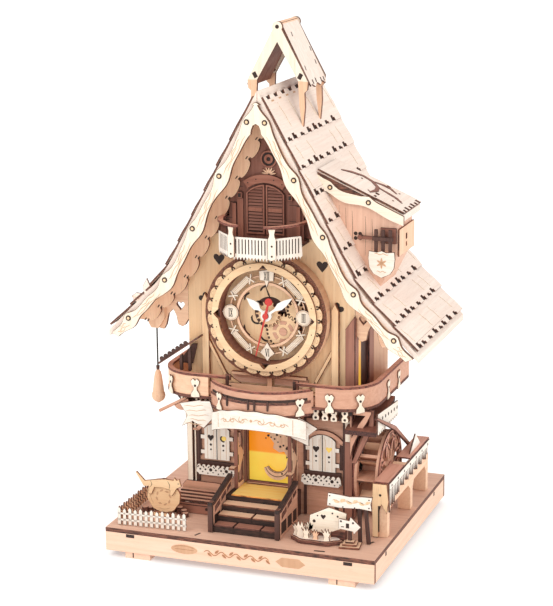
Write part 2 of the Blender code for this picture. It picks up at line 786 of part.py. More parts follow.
def make_fence():
    near = [(-97.0, -21.0), (-96.4, -87.4), (-43.0, -90.4)]
    far = [(-98.6, -21.0), (-98.0, -88.9), (-43.0, -92.0)]
    plate("picket_fence", "XY", strip(near, far), DECK + GAP, 14.2, CREAM)


def make_light_pull():
    """Housing under the left eave, with a cord and a turned pull."""
    top = SLAB_IN - 0.4
    body = [(PULL_X - 5.6, PULL_HOUSING_Z + 5.0), (PULL_X - 3.0, PULL_HOUSING_Z)]
    body += [(PULL_X + 3.0, PULL_HOUSING_Z), (PULL_X + 8.0, PULL_HOUSING_Z + 8.0)]
    body += [(PULL_X + 8.0, roof_z(PULL_X + 8.0, top)), (PULL_X - 5.6, roof_z(PULL_X - 5.6, top))]
    housing = as_mesh(plate("pull_housing", "XZ", body, PULL_Y - 4.0, 8.0, TAN))
    middle = (PULL_X, PULL_Y, PULL_HOUSING_Z + 6.5)
    bore = bar("pull_bore", "Z", middle, CORD_R * 2, 15.0, TAN, sides=16)
    combine(housing, bore, "DIFFERENCE")
    paint(housing, TAN)
    make_cord()
    make_weight()


def make_cord():
    low = WEIGHT_TOP + GAP
    count = 15
    curve = bpy.data.curves.new("pull_cord", "CURVE")
    curve.dimensions = "3D"
    curve.bevel_depth = CORD_R * MM
    curve.bevel_resolution = 2
    curve.use_fill_caps = True
    curve.resolution_u = 1
    curve.render_resolution_u = 0
    spline = curve.splines.new("POLY")
    spline.points.add(count - 1)
    for index, point in enumerate(spline.points):
        drop = (CORD_TOP - low) * index / (count - 1)
        point.co = (0.0, 0.0, -drop * MM, 1.0)
    obj = bpy.data.objects.new("pull_cord", curve)
    obj.location = (PULL_X * MM, PULL_Y * MM, CORD_TOP * MM)
    MODEL.objects.link(obj)
    paint(obj, BLACK)


def make_weight():
    """Pear-shaped pull: slim neck, full body and a flattened end."""
    profile = [(0.0, 0.0), (1.0, 0.0), (2.2, -2.0), (3.0, -5.5), (3.7, -11.0)]
    profile += arc(0.0, -20.8, WEIGHT_R, 32.0, -62.0, 8)
    profile.append((0.0, -WEIGHT_H))
    bm = bmesh.new()
    verts = [bm.verts.new((u * MM, 0.0, v * MM)) for u, v in profile]
    for first, second in zip(verts, verts[1:]):
        bm.edges.new((first, second))
    mesh = bpy.data.meshes.new("pull_weight")
    bm.to_mesh(mesh)
    bm.free()
    obj = bpy.data.objects.new("pull_weight", mesh)
    screw = obj.modifiers.new("turned", "SCREW")
    screw.steps = 20
    screw.render_steps = 20
    screw.use_merge_vertices = True
    screw.merge_threshold = 0.00001
    obj.location = (PULL_X * MM, PULL_Y * MM, WEIGHT_TOP * MM)
    MODEL.objects.link(obj)
    paint(obj, TAN)


def make_model():
    make_base()
    make_ground_floor()
    make_porch()
    make_door()
    make_windows()
    make_banner()
    make_balcony()
    make_upper_floor()
    make_clock()
    make_cuckoo_bay()
    make_roof()
    make_dormer()
    make_turret()
    make_water_wheel()
    make_flume()
    make_chute()
    make_fence()
    make_light_pull()


make_model()
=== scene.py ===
"""Looks of the laser-cut clock house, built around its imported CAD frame.

Plates are drawn in millimetres of the row frame (+X right, +Y into the depth, +Z up).
First come the helpers: materials, outlines, planes and plates. Then there is one function for
each part of the house, and the last lines call them.
"""

import math

import bmesh
import bpy
from mathutils import Matrix, Vector
from mathutils.geometry import tessellate_polygon


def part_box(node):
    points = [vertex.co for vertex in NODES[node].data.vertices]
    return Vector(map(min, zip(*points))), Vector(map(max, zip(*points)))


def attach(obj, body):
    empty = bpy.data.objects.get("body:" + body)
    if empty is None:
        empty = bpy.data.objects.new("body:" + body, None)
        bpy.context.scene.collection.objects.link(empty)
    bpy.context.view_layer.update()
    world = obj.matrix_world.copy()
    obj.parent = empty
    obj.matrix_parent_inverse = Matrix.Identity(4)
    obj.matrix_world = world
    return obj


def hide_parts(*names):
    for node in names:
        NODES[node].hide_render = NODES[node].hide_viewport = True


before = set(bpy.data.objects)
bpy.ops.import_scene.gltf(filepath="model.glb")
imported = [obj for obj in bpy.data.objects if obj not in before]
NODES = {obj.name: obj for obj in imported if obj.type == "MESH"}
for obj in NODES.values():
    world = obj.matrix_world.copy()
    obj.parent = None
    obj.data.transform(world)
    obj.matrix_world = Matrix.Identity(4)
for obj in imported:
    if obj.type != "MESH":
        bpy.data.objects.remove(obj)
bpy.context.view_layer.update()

MM = 0.001
PROUD = 0.15  # how far an engraved mark stands off its plate, so that it shows
HALO = 0.3  # width of the burnt line round a plate's outline

# Stain: light and deep tone of the face, burnt edge tone, record slot.
STAINS = {
    "white": ((250, 243, 234), (234, 222, 208), (70, 46, 36), "white_ply"),
    "cream": ((252, 240, 224), (240, 222, 200), (78, 50, 36), "cream_ply"),
    "blush": ((250, 234, 222), (238, 216, 202), (76, 48, 38), "blush_ply"),
    "skirt": ((250, 210, 186), (240, 196, 168), (86, 52, 38), "cream_ply"),
    "sand": ((248, 216, 176), (234, 194, 150), (98, 60, 40), "cream_ply"),
    "tan": ((246, 208, 176), (230, 184, 150), (86, 52, 38), "tan_ply"),
    "lit": ((255, 226, 142), (250, 202, 108), (150, 90, 40), "tan_ply"),
    "deck": ((236, 194, 170), (218, 172, 148), (74, 44, 34), "tan_ply"),
    "rose": ((222, 172, 146), (200, 148, 122), (72, 42, 34), "walnut_ply"),
    "walnut": ((150, 98, 80), (122, 74, 60), (54, 30, 26), "walnut_ply"),
    "rosewalnut": ((176, 122, 102), (148, 98, 82), (60, 34, 28), "walnut_ply"),
    "rosy": ((224, 168, 146), (202, 142, 120), (84, 46, 38), "walnut_ply"),
    "cherry": ((166, 108, 86), (142, 86, 68), (60, 34, 28), "walnut_ply"),
    # dark and burnt colour real dark wood and burnt marks, and also painted shade: the shadow strips, and
    # the shade behind slats, gears and cut-outs.
    "dark": ((92, 58, 48), (66, 40, 34), (36, 22, 18), "dark_ply"),
    "burnt": ((58, 36, 28), (38, 22, 17), (34, 20, 15), "dark_ply"),
    "mark": ((182, 130, 94), (166, 116, 82), (166, 116, 82), "tan_ply"),
    "faint": ((214, 170, 136), (198, 152, 118), (198, 152, 118), "tan_ply"),
}


# --- materials --------------------------------------------------------------------


def linear(colour):
    """Screen colour, 0 to 255, as the linear RGBA that a shader takes."""
    parts = []
    for channel in colour:
        value = channel / 255
        parts.append(value / 12.92 if value <= 0.04045 else ((value + 0.055) / 1.055) ** 2.4)
    return (*parts, 1.0)


def new_tree(name):
    material = bpy.data.materials.new(name)
    material.use_nodes = True
    return material, material.node_tree, material.node_tree.nodes["Principled BSDF"]


def wire(tree, source, target):
    tree.links.new(source, target)


def tune(node, values):
    """Sets a node's inputs by name."""
    for name, value in values.items():
        node.inputs[name].default_value = value


def stretched_noise(tree, across, along, grain, detail=4.0):
    """Noise stretched along the grain; across and along are cycles per metre."""
    coords = tree.nodes.new("ShaderNodeTexCoord")
    mapping = tree.nodes.new("ShaderNodeMapping")
    scale = [across] * 3
    scale["XYZ".index(grain)] = along
    mapping.inputs["Scale"].default_value = scale
    noise = tree.nodes.new("ShaderNodeTexNoise")
    tune(noise, {"Scale": 1.0, "Detail": detail, "Roughness": 0.62})
    wire(tree, coords.outputs["Object"], mapping.inputs["Vector"])
    wire(tree, mapping.outputs["Vector"], noise.inputs["Vector"])
    return noise.outputs["Fac"]


def span_to(tree, source, low, high, to_low=0.0, to_high=1.0):
    """Maps a range of a value onto another range, clamped."""
    node = tree.nodes.new("ShaderNodeMapRange")
    tune(node, {"From Min": low, "From Max": high, "To Min": to_low, "To Max": to_high})
    wire(tree, source, node.inputs["Value"])
    return node.outputs["Result"]


def blend_colours(tree, factor, first, second):
    node = tree.nodes.new("ShaderNodeMix")
    node.data_type = "RGBA"
    for socket, value in ((node.inputs[0], factor), (node.inputs[6], first), (node.inputs[7], second)):
        if isinstance(value, bpy.types.NodeSocket):
            wire(tree, value, socket)
        else:
            socket.default_value = value
    return node.outputs[2]


def add_bump(tree, shader, height, strength, distance):
    bump = tree.nodes.new("ShaderNodeBump")
    tune(bump, {"Strength": strength, "Distance": distance})
    wire(tree, height, bump.inputs["Height"])
    wire(tree, bump.outputs["Normal"], shader.inputs["Normal"])


def face_material(stain, grain):
    """Sanded plywood face: streaks, pores and slow changes of tone along the grain."""
    light, deep, edge, _ = STAINS[stain]
    material, tree, shader = new_tree(f"{stain}_face_{grain}")
    streaks = stretched_noise(tree, 430.0, 16.0, grain, 5.0)
    pores = stretched_noise(tree, 2600.0, 120.0, grain, 2.0)
    mottle = stretched_noise(tree, 26.0, 14.0, grain, 3.0)
    colour = blend_colours(tree, span_to(tree, streaks, 0.36, 0.68), linear(light), linear(deep))
    tone = span_to(tree, mottle, 0.35, 0.68, 0.0, 0.55)
    colour = blend_colours(tree, tone, colour, linear(deep))
    dark = tuple(0.45 * a + 0.55 * b for a, b in zip(linear(deep), linear(edge)))
    colour = blend_colours(tree, span_to(tree, pores, 0.60, 0.78, 0.0, 0.5), colour, dark)
    wire(tree, colour, shader.inputs["Base Color"])
    wire(tree, span_to(tree, streaks, 0.3, 0.7, 0.52, 0.7), shader.inputs["Roughness"])
    add_bump(tree, shader, pores, 0.35, 0.00006)
    return material


def edge_material(stain, grain):
    """Laser-burnt edge: char streaks over the plies."""
    edge = STAINS[stain][2]
    material, tree, shader = new_tree(f"{stain}_edge_{grain}")
    char = stretched_noise(tree, 900.0, 160.0, grain, 3.0)
    pale = tuple(min(255, int(c * 1.7 + 14)) for c in edge)
    dark = tuple(int(c * 0.7) for c in edge)
    colour = blend_colours(tree, span_to(tree, char, 0.34, 0.66), linear(dark), linear(pale))
    wire(tree, colour, shader.inputs["Base Color"])
    wire(tree, span_to(tree, char, 0.3, 0.7, 0.6, 0.85), shader.inputs["Roughness"])
    return material


MADE = {}


def wood(stain, grain):
    """Face and edge material of a stain, made once."""
    key = (stain, grain)
    if key not in MADE:
        MADE[key] = (face_material(stain, grain), edge_material(stain, grain))
    return MADE[key]


def plain_material(name, colour, roughness, metallic=0.0, speckle=0.12):
    """Paint, plastic or metal with a fine uneven tone."""
    material, tree, shader = new_tree(name)
    noise = stretched_noise(tree, 900.0, 900.0, "Z", 3.0)
    dark = tuple(c * (1 - speckle) for c in colour)
    shade = blend_colours(tree, span_to(tree, noise, 0.35, 0.65), linear(colour), linear(dark))
    wire(tree, shade, shader.inputs["Base Color"])
    wire(tree, span_to(tree, noise, 0.3, 0.7, roughness, roughness + 0.12), shader.inputs["Roughness"])
    shader.inputs["Metallic"].default_value = metallic
    return material


def glow_material(name, low, high, level, fade, strength):
    """Amber acrylic lit from behind: one tone under a level, another over it."""
    material, tree, shader = new_tree(name)
    coords = tree.nodes.new("ShaderNodeTexCoord")
    split = tree.nodes.new("ShaderNodeSeparateXYZ")
    wire(tree, coords.outputs["Object"], split.inputs["Vector"])
    height = span_to(tree, split.outputs["Z"], (level - fade) * MM, (level + fade) * MM)
    tint = blend_colours(tree, height, linear(low), linear(high))
    cloud = stretched_noise(tree, 60.0, 60.0, "Z", 2.0)
    tint = blend_colours(tree, span_to(tree, cloud, 0.35, 0.7, 0.0, 0.25), tint, linear(high))
    dim = blend_colours(tree, 0.55, tint, (0.0, 0.0, 0.0, 1.0))
    wire(tree, dim, shader.inputs["Base Color"])
    wire(tree, tint, shader.inputs["Emission Color"])
    tune(shader, {"Emission Strength": strength, "Roughness": 0.25})
    return material


def cord_material():
    """Twisted waxed thread."""
    material, tree, shader = new_tree("waxed_cord")
    coords = tree.nodes.new("ShaderNodeTexCoord")
    wave = tree.nodes.new("ShaderNodeTexWave")
    wave.bands_direction = "DIAGONAL"
    tune(wave, {"Scale": 520.0, "Distortion": 1.0})
    wire(tree, coords.outputs["Object"], wave.inputs["Vector"])
    tone = span_to(tree, wave.outputs["Fac"], 0.2, 0.8)
    shade = blend_colours(tree, tone, linear((52, 40, 36)), linear((22, 16, 14)))
    wire(tree, shade, shader.inputs["Base Color"])
    add_bump(tree, shader, wave.outputs["Fac"], 0.6, 0.0001)
    shader.inputs["Roughness"].default_value = 0.7
    return material


# --- outlines ---------------------------------------------------------------------


def rect(u0, v0, u1, v1):
    return [(u0, v0), (u1, v0), (u1, v1), (u0, v1)]


def arc(cu, cv, radius, start, stop, steps, squash=1.0):
    points = []
    for index in range(steps + 1):
        angle = math.radians(start + (stop - start) * index / steps)
        points.append((cu + radius * math.cos(angle), cv + radius * squash * math.sin(angle)))
    return points


def disc(cu, cv, radius, steps=20, squash=1.0):
    return arc(cu, cv, radius, 0.0, 360.0, steps, squash)[:-1]


def mirrored(points):
    """Closes a right-hand half outline, drawn bottom to top, with its mirror image."""
    return points + [(-u, v) for u, v in reversed(points) if abs(u) > 1e-6]


def moved(points, du, dv, turn=0.0, size=1.0):
    """Outline turned by an angle in degrees, sized and shifted."""
    c = math.cos(math.radians(turn)) * size
    s = math.sin(math.radians(turn)) * size
    return [(u * c - v * s + du, u * s + v * c + dv) for u, v in points]


def flip(points, hand):
    """The outline itself for hand 1, its mirror image for hand -1."""
    return [(hand * u, v) for u, v in points]


def lift(points, dv):
    return [(u, v + dv) for u, v in points]


def bar(u0, v0, u1, v1):
    """Rectangle whose sides may come in either order."""
    return rect(min(u0, u1), v0, max(u0, u1), v1)


def polar(radius, degrees, cv=0.0):
    """Point on a circle round (0, cv)."""
    angle = math.radians(degrees)
    return radius * math.cos(angle), cv + radius * math.sin(angle)


def swelling(x, middle, width):
    """Smooth hump, 1 at its middle."""
    return math.exp(-(((x - middle) / width) ** 2))


def band(inner, outer):
    """Closed outline between two runs that go the same way."""
    return inner + outer[::-1]


def heart(cu, cv, size):
    half = [(0.0, -0.62), (0.30, -0.28), (0.54, 0.02), (0.60, 0.26), (0.48, 0.46), (0.26, 0.50),
            (0.08, 0.40)]
    points = half + [(0.0, 0.28)] + [(-u, v) for u, v in reversed(half[1:])]
    return moved(points, cu, cv, 0.0, size)


def leaf(length, width):
    """Pointed leaf that starts at the origin and points up."""
    right = [(0.0, 0.0), (width * 0.38, length * 0.2), (width * 0.5, length * 0.45),
             (width * 0.3, length * 0.78)]
    return right + [(0.0, length)] + [(-u, v) for u, v in reversed(right[1:])]


def ribbon(points, width):
    """Closed outline of a stroke along a run of points, tapered at both ends."""
    left, right = [], []
    last = len(points) - 1
    for index, (u, v) in enumerate(points):
        ahead = points[min(index + 1, last)]
        behind = points[max(index - 1, 0)]
        du, dv = ahead[0] - behind[0], ahead[1] - behind[1]
        norm = math.hypot(du, dv) or 1.0
        half = width / 2 * (0.35 if index in (0, last) else 1.0)
        left.append((u - dv / norm * half, v + du / norm * half))
        right.append((u + dv / norm * half, v - du / norm * half))
    return left + right[::-1]


def wavy(start, stop, count, swing, waves=1.5):
    """Run of points from start to stop that swings to both sides."""
    du, dv = stop[0] - start[0], stop[1] - start[1]
    norm = math.hypot(du, dv)
    points = []
    for index in range(count + 1):
        share = index / count
        off = swing * math.sin(2 * math.pi * waves * share)
        points.append((start[0] + du * share - dv / norm * off, start[1] + dv * share + du / norm * off))
    return points


# --- planes and plates ------------------------------------------------------------


def plane(origin, u, v, w=None):
    """Matrix from plane millimetres to metres; w is the direction of the thickness."""
    u, v = Vector(u).normalized(), Vector(v).normalized()
    w = Vector(w).normalized() if w else u.cross(v)
    matrix = Matrix((u, v, w)).transposed() * MM
    return Matrix.Translation(Vector(origin) * MM) @ matrix.to_4x4()


def front(y):
    """X across, Z up; the thickness runs back from y."""
    return plane((0, y, 0), (1, 0, 0), (0, 0, 1), (0, 1, 0))


def side(x):
    return plane((x, 0, 0), (0, 1, 0), (0, 0, 1), (1, 0, 0))


def flat(z):
    return plane((0, 0, z), (1, 0, 0), (0, 1, 0), (0, 0, 1))


def facing(x, y, z, azimuth):
    """Upright plane at a point, facing the azimuth; 0 faces the front, 90 the right."""
    angle = math.radians(azimuth)
    across = (math.cos(angle), math.sin(angle), 0)
    return plane((x, y, z), across, (0, 0, 1), (-math.sin(angle), math.cos(angle), 0))


def show(obj):
    """Puts an object into the scene."""
    bpy.context.scene.collection.objects.link(obj)


class Piece:
    """One piece of the visual model: closed solids that share a stain and a body."""

    def __init__(self, name, stain, grain="Z", body="house", halo=HALO):
        self.name = name
        self.stain = stain
        self.grain = grain
        self.body = body
        self.halo = halo
        self.mesh = bmesh.new()

    def cut(self, outline, place, thick, holes=(), swap=False, bend=None):
        """Flat plate with square edges. swap puts the face stain on the edges instead."""
        loops = [[Vector((u, v, 0)) for u, v in loop] for loop in (outline, *holes)]
        corners = [point for loop in loops for point in loop]
        rise = Vector((0, 0, thick))
        layers = []
        for points in (corners, [p + rise for p in corners]):
            placed = [bend(p) * MM if bend else place @ p for p in points]
            layers.append([self.mesh.verts.new(p) for p in placed])
        faces = []
        for tri in tessellate_polygon(loops):
            for layer, order in ((layers[0], tri), (layers[1], tri[::-1])):
                face = self.mesh.faces.new([layer[i] for i in order])
                face.material_index = 1 if swap else 0
                faces.append(face)
        start = 0
        for loop in loops:
            for index in range(len(loop)):
                a, b = start + index, start + (index + 1) % len(loop)
                quad = [layers[0][a], layers[0][b], layers[1][b], layers[1][a]]
                face = self.mesh.faces.new(quad)
                face.material_index = 0 if swap else 1
                faces.append(face)
            start += len(loop)
        bmesh.ops.recalc_face_normals(self.mesh, faces=faces)
        return self

    def strip(self, lower, upper, thick, bend):
        """Bent ribbon between two runs that have the same number of points."""
        rows = []
        for w in (0.0, thick):
            for run in (lower, upper):
                rows.append([self.mesh.verts.new(bend(Vector((u, v, w))) * MM) for u, v in run])
        faces = []
        for index, (a, b) in enumerate(((0, 1), (3, 2), (1, 3), (2, 0))):
            for k in range(len(lower) - 1):
                face = self.mesh.faces.new((rows[a][k], rows[a][k + 1], rows[b][k + 1], rows[b][k]))
                face.material_index = int(index > 1)
                faces.append(face)
        for k in (0, -1):
            face = self.mesh.faces.new([rows[a][k] for a in (0, 1, 3, 2)])
            face.material_index = 1
            faces.append(face)
        bmesh.ops.recalc_face_normals(self.mesh, faces=faces)
        return self

    def tube(self, points, radius, sides=10, end_radius=None):
        """Round bar along points in millimetres; closed at both ends."""
        points = [Vector(p) for p in points]
        rings, faces = [], []
        last = len(points) - 1
        for index, point in enumerate(points):
            run = points[min(index + 1, last)] - points[max(index - 1, 0)]
            turn = run.to_track_quat("Z", "Y")
            size = radius if end_radius is None else radius + (end_radius - radius) * index / last
            ring = []
            for step in range(sides):
                angle = 2 * math.pi * step / sides
                offset = turn @ Vector((math.cos(angle), math.sin(angle), 0)) * size
                ring.append(self.mesh.verts.new((point + offset) * MM))
            rings.append(ring)
        for low, high in zip(rings, rings[1:]):
            for step in range(sides):
                after = (step + 1) % sides
                faces.append(self.mesh.faces.new((low[step], low[after], high[after], high[step])))
        faces.append(self.mesh.faces.new(rings[0][::-1]))
        faces.append(self.mesh.faces.new(rings[-1]))
        bmesh.ops.recalc_face_normals(self.mesh, faces=faces)
        return self

    def done(self, *replaced, smooth=False):
        data = bpy.data.meshes.new(self.name)
        self.mesh.to_mesh(data)
        self.mesh.free()
        for material in wood(self.stain, self.grain):
            data.materials.append(material)
        obj = bpy.data.objects.new(self.name, data)
        show(obj)
        if smooth:
            data.shade_smooth()
        elif self.halo:
            add_halo(obj, self.halo)
        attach(obj, self.body)
        if replaced:
            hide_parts(*replaced)
        return obj


def trim(name, stain, place, thick, *outlines, grain="Z", body="house", halo=HALO, holes=(), replaced=()):
    """Plates that share a plane, as one piece."""
    piece = Piece(name, stain, grain, body, halo)
    for outline in outlines:
        piece.cut(outline, place, thick, holes=holes)
    return piece.done(*replaced)


def burn(name, place, *outlines, depth=0.3, stain="burnt", body="house"):
    """Engraved lines and cut-outs, shown as thin plates just proud of a face."""
    return trim(name, stain, place, depth, *outlines, body=body, halo=0)


def engraving(name, stain="burnt", grain="Z"):
    """Piece for marks on the house in several planes; close() ends it."""
    return Piece(name, stain, grain, halo=0)


def close(*pieces):
    for piece in pieces:
        piece.done()


def add_halo(obj, width):
    """Burnt line round each outline: a narrow chamfer in the edge material."""
    bevel = obj.modifiers.new("burnt_outline", "BEVEL")
    bevel.width = width * MM
    bevel.segments = 1
    bevel.limit_method = "ANGLE"
    bevel.angle_limit = math.radians(50)
    bevel.material = 1
    bevel.use_clamp_overlap = True


def span(node):
    """Lowest and highest corner of a CAD node in millimetres."""
    low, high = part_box(node)
    return low / MM, high / MM


def stain_node(node, stain, grain, flat_axes=None):
    """Carries a CAD plate over: faces by the plate's thin axis, everything else burnt edge."""
    obj = NODES[node]
    low, high = span(node)
    size = [high[i] - low[i] for i in range(3)]
    faces = flat_axes or "XYZ"[size.index(min(size))]
    obj.data.materials.clear()
    for material in wood(stain, grain):
        obj.data.materials.append(material)
    axes = ["XYZ".index(axis) for axis in faces]
    for polygon in obj.data.polygons:
        part = math.hypot(*[polygon.normal[axis] for axis in axes])
        polygon.material_index = 0 if part > 0.75 else 1
    add_halo(obj, HALO)


def paint(obj, material):
    """One material all over an object."""
    obj.data.materials.clear()
    obj.data.materials.append(material)
    for polygon in obj.data.polygons:
        polygon.material_index = 0


# --- CAD plates that are shown as they are ----------------------------------------


def carry_plates():
    plates = [
        ("base_deck", "deck", "X"), ("base_front_panel", "skirt", "X"), ("base_rear_panel", "skirt", "X"),
        ("base_left_panel", "skirt", "Y"), ("base_right_panel", "skirt", "Y"),
        ("ground_front_wall", "rose", "X"), ("ground_left_wall", "rose", "Y"),
        ("ground_right_wall", "walnut", "Y"), ("rear_wall", "tan", "Z"),
        # The upper front wall takes the lighter sand tone, not tan like the other upper walls: painted
        # light that lifts it out of the shade under the eaves.
        ("upper_front_wall", "sand", "Z"), ("upper_left_wall", "tan", "Z"),
        ("upper_right_wall", "tan", "Z"), ("porch_left_jamb", "tan", "Z"), ("porch_right_jamb", "tan", "Z"),
        ("stair_left_rail", "rose", "Y"), ("stair_right_rail", "rose", "Y"),
        ("tree_moon_screen", "tan", "Z"),
        ("balcony_deck", "rose", "X"), ("cuckoo_door_frame", "walnut", "Z"),
        ("cuckoo_balcony_floor", "walnut", "X"), ("water_chute", "walnut", "Y"),
        ("clock_gear_large", "sand", "X"), ("clock_gear_small", "sand", "X"),
        ("turret_front_frame", "cream", "Z"), ("turret_rear_frame", "cream", "Z"),
    ]
    for node, stain, grain in plates:
        stain_node(node, stain, grain)
    stain_node("balcony_left_railing", "tan", "X", "XY")
    for node in ("balcony_front_railing", "balcony_right_railing"):
        stain_node(node, "rose", "X", "XY")
    for node in ("foot_rail_left", "foot_rail_right"):
        stain_node(node, "skirt", "Y", "XYZ")
    stain_node("clock_drum", "tan", "Y", "XZ")
    # The dormer walls take the darker deck tone, not tan: painted shade that tones down the strong light
    # they catch.
    stain_node("dormer_walls", "deck", "Z", "XYZ")
    stain_node("dormer_roof", "blush", "X", "XZ")
    stain_node("roof_left_slope", "blush", "Y", "XYZ")
    stain_node("roof_right_slope", "blush", "Y", "XYZ")
    stain_node("turret_roof", "blush", "Y", "XZ")
    stain_node("pull_housing", "tan", "Z", "XYZ")
    black = plain_material("moulded_black", (30, 30, 30), 0.5)
    paint(NODES["clock_movement"], black)
    paint(NODES["light_module"], black)
    ivory = plain_material("painted_ivory", (250, 248, 242), 0.4, speckle=0.04)
    paint(NODES["hour_hand"], ivory)
    paint(NODES["minute_hand"], ivory)
    paint(NODES["second_hand"], plain_material("painted_red", (214, 58, 50), 0.4))
    paint(NODES["wheel_axle"], plain_material("drawn_steel", (150, 146, 140), 0.3, 1.0))
    amber = glow_material("amber_panel", (255, 216, 84), (255, 150, 22), 68.0, 0.6, 0.6)
    paint(NODES["door_light_panel"], amber)


# --- roof -------------------------------------------------------------------------


def roof_profile():
    """Upper line of the right slope: height at each x of its front end."""
    low = span("roof_right_slope")[0]
    tops = {}
    for vertex in NODES["roof_right_slope"].data.vertices:
        x, y, z = vertex.co / MM
        if y < low.y + 1.0:
            key = round(x, 1)
            tops[key] = max(tops.get(key, -1e9), z)
    return sorted(tops.items())


ROOF_LINE = roof_profile()
SLAB_OFFSET = 5.0  # the slab's top stands this far off the middle of the gable boards


def roof_top(x):
    """Height of the slab's upper face at a distance from the ridge."""
    run = abs(x)
    last = len(ROOF_LINE) - 1
    index = next((k for k in range(1, last) if run <= ROOF_LINE[k][0]), last)
    before, after = ROOF_LINE[index - 1], ROOF_LINE[index]
    share = (run - before[0]) / (after[0] - before[0])
    return before[1] + (after[1] - before[1]) * share


def roof_at(x, offset):
    """Point (x, z) that lies offset outward from the middle line of the gable boards."""
    run = abs(x)
    steep = (roof_top(run) - roof_top(run + 1.0)) if run < 118 else 1.0
    norm = math.hypot(1.0, steep)
    move = offset - SLAB_OFFSET
    side_x = run + move * steep / norm
    return (math.copysign(side_x, x) if x else side_x, roof_top(run) + move / norm)


ROWS = (3.0, 21.3, 31.6, 41.9, 52.1, 63.0, 73.5, 87.5, 103.2, 120.3)
ROW_THICK = 1.5
ROW_LIFT = 2.2
NOTCH_DEPTHS = (3.2, 4.8, 2.8, 4.4, 5.2, 3.6)
NOTCH_PITCH = 14.2
DASH_PITCH = 15.6  # marks and notches of the ridge row


def row_outline(length, height, shift, ridge):
    """Shingle row with square notches along its lower edge, and on the ridge row along both."""
    outline = [(0.0, 0.0)]
    for index in range(int((length - 4.0) / NOTCH_PITCH)):
        u = 2.6 + index * NOTCH_PITCH + (1.6, -1.4, 0.4, 2.2)[(index + shift) % 4]
        depth = NOTCH_DEPTHS[(index + shift) % len(NOTCH_DEPTHS)]
        outline += [(u, 0.0), (u + 0.8, depth), (u + 5.2, depth)]
        outline += [(u + 5.2, depth * 0.6), (u + 7.8, depth * 0.6), (u + 7.6, 0.0)]
    outline += [(length, 0.0), (length + 0.8, height * 0.35), (length - 0.6, height * 0.7),
                (length, height)]
    if ridge:
        for index in range(int(length / DASH_PITCH) - 1, -1, -1):
            u = 5.0 + index * DASH_PITCH
            outline += [(u + 8.0, height), (u + 6.6, height - 3.0), (u + 1.4, height - 3.0), (u, height)]
    outline += [(0.0, height), (0.5, height * 0.6)]
    return outline


def make_shingles():
    low, high = span("roof_right_slope")
    for hand, word in ((1, "right"), (-1, "left")):
        rows = Piece(f"shingles_{word}", "blush", "Y")
        unders = engraving(f"shingle_shadows_{word}", grain="Y")
        marks = engraving(f"shingle_marks_{word}", "faint", "Y")
        for index, (x0, x1) in enumerate(zip(ROWS, ROWS[1:])):
            start = (0.5, 1.4, 0.2, 1.0)[index % 4]
            length = high.y - low.y - start - (1.2, 0.2, 0.8)[index % 3]
            upper = Vector((hand * x0, 0, roof_top(x0) + 0.4))
            lower = Vector((hand * x1, 0, roof_top(x1) + ROW_LIFT))
            climb = upper - lower
            height = climb.length + (2.0 if index else 0.0)
            lower.y = low.y + start if hand > 0 else high.y - start
            place = plane(lower, (0, hand, 0), climb)
            rows.cut(row_outline(length, height, index * 2, index == 0), place, ROW_THICK)
            unders.cut(rect(0.6, 0.5, length - 0.6, 6.0), place, 0.35)
            if index == 0:
                unders.cut(rect(1.0, height - 4.5, length - 1.0, height - 0.4), place, 0.35)
                for dash in range(int(length / DASH_PITCH)):
                    mark = rect(11.0 + dash * DASH_PITCH, height - 5.6, 16.0 + dash * DASH_PITCH,
                                height - 4.4)
                    marks.cut(mark, place, ROW_THICK + PROUD)
            for spot in (0.12, 0.37, 0.66, 0.9):
                u = length * (spot + 0.07 * math.sin(index * 2.1 + spot * 9))
                vein = wavy((u, height * 0.25), (u - 3.0, height * 0.8), 5, 0.5)
                marks.cut(ribbon(vein, 0.5), place, ROW_THICK + PROUD)
        close(rows, unders, marks)


STUDS = (10.9, 32.7, 54.4, 77.0, 107.0)


def board_run(side_sign, start, stop, steps):
    """Edge of a gable board: wavy, and swollen round each stud."""
    points = []
    for index in range(steps + 1):
        x = start + (stop - start) * index / steps
        swell, spread = (2.6, 3.4) if side_sign > 0 else (2.8, 5.0)
        reach = (1.4 if side_sign > 0 else 4.7) + 0.4 * math.sin(x * 0.42 + side_sign)
        for stud in STUDS:
            reach += swell * swelling(x, stud, spread)
        points.append(roof_at(x, side_sign * reach))
    return points


def make_eave_leaves():
    """Two small leaves that stand up from the left slope near its eave."""
    wings = (
        [(-102.5, 188.6), (-98.7, 191.6), (-92.2, 191.0), (-93.1, 186.3), (-96.1, 183.7), (-100.5, 184.9)],
        [(-92.2, 190.2), (-93.2, 197.1), (-89.7, 203.5), (-85.7, 194.5), (-86.9, 188.6), (-90.7, 186.4)],
    )
    trim("eave_leaves", "blush", front(-44.0), 1.6, *wings)
    veins = [ribbon([wing[0], wing[3]], 0.5) for wing in wings]
    burn("eave_leaf_veins", front(-44.0 - PROUD), *veins, stain="faint")


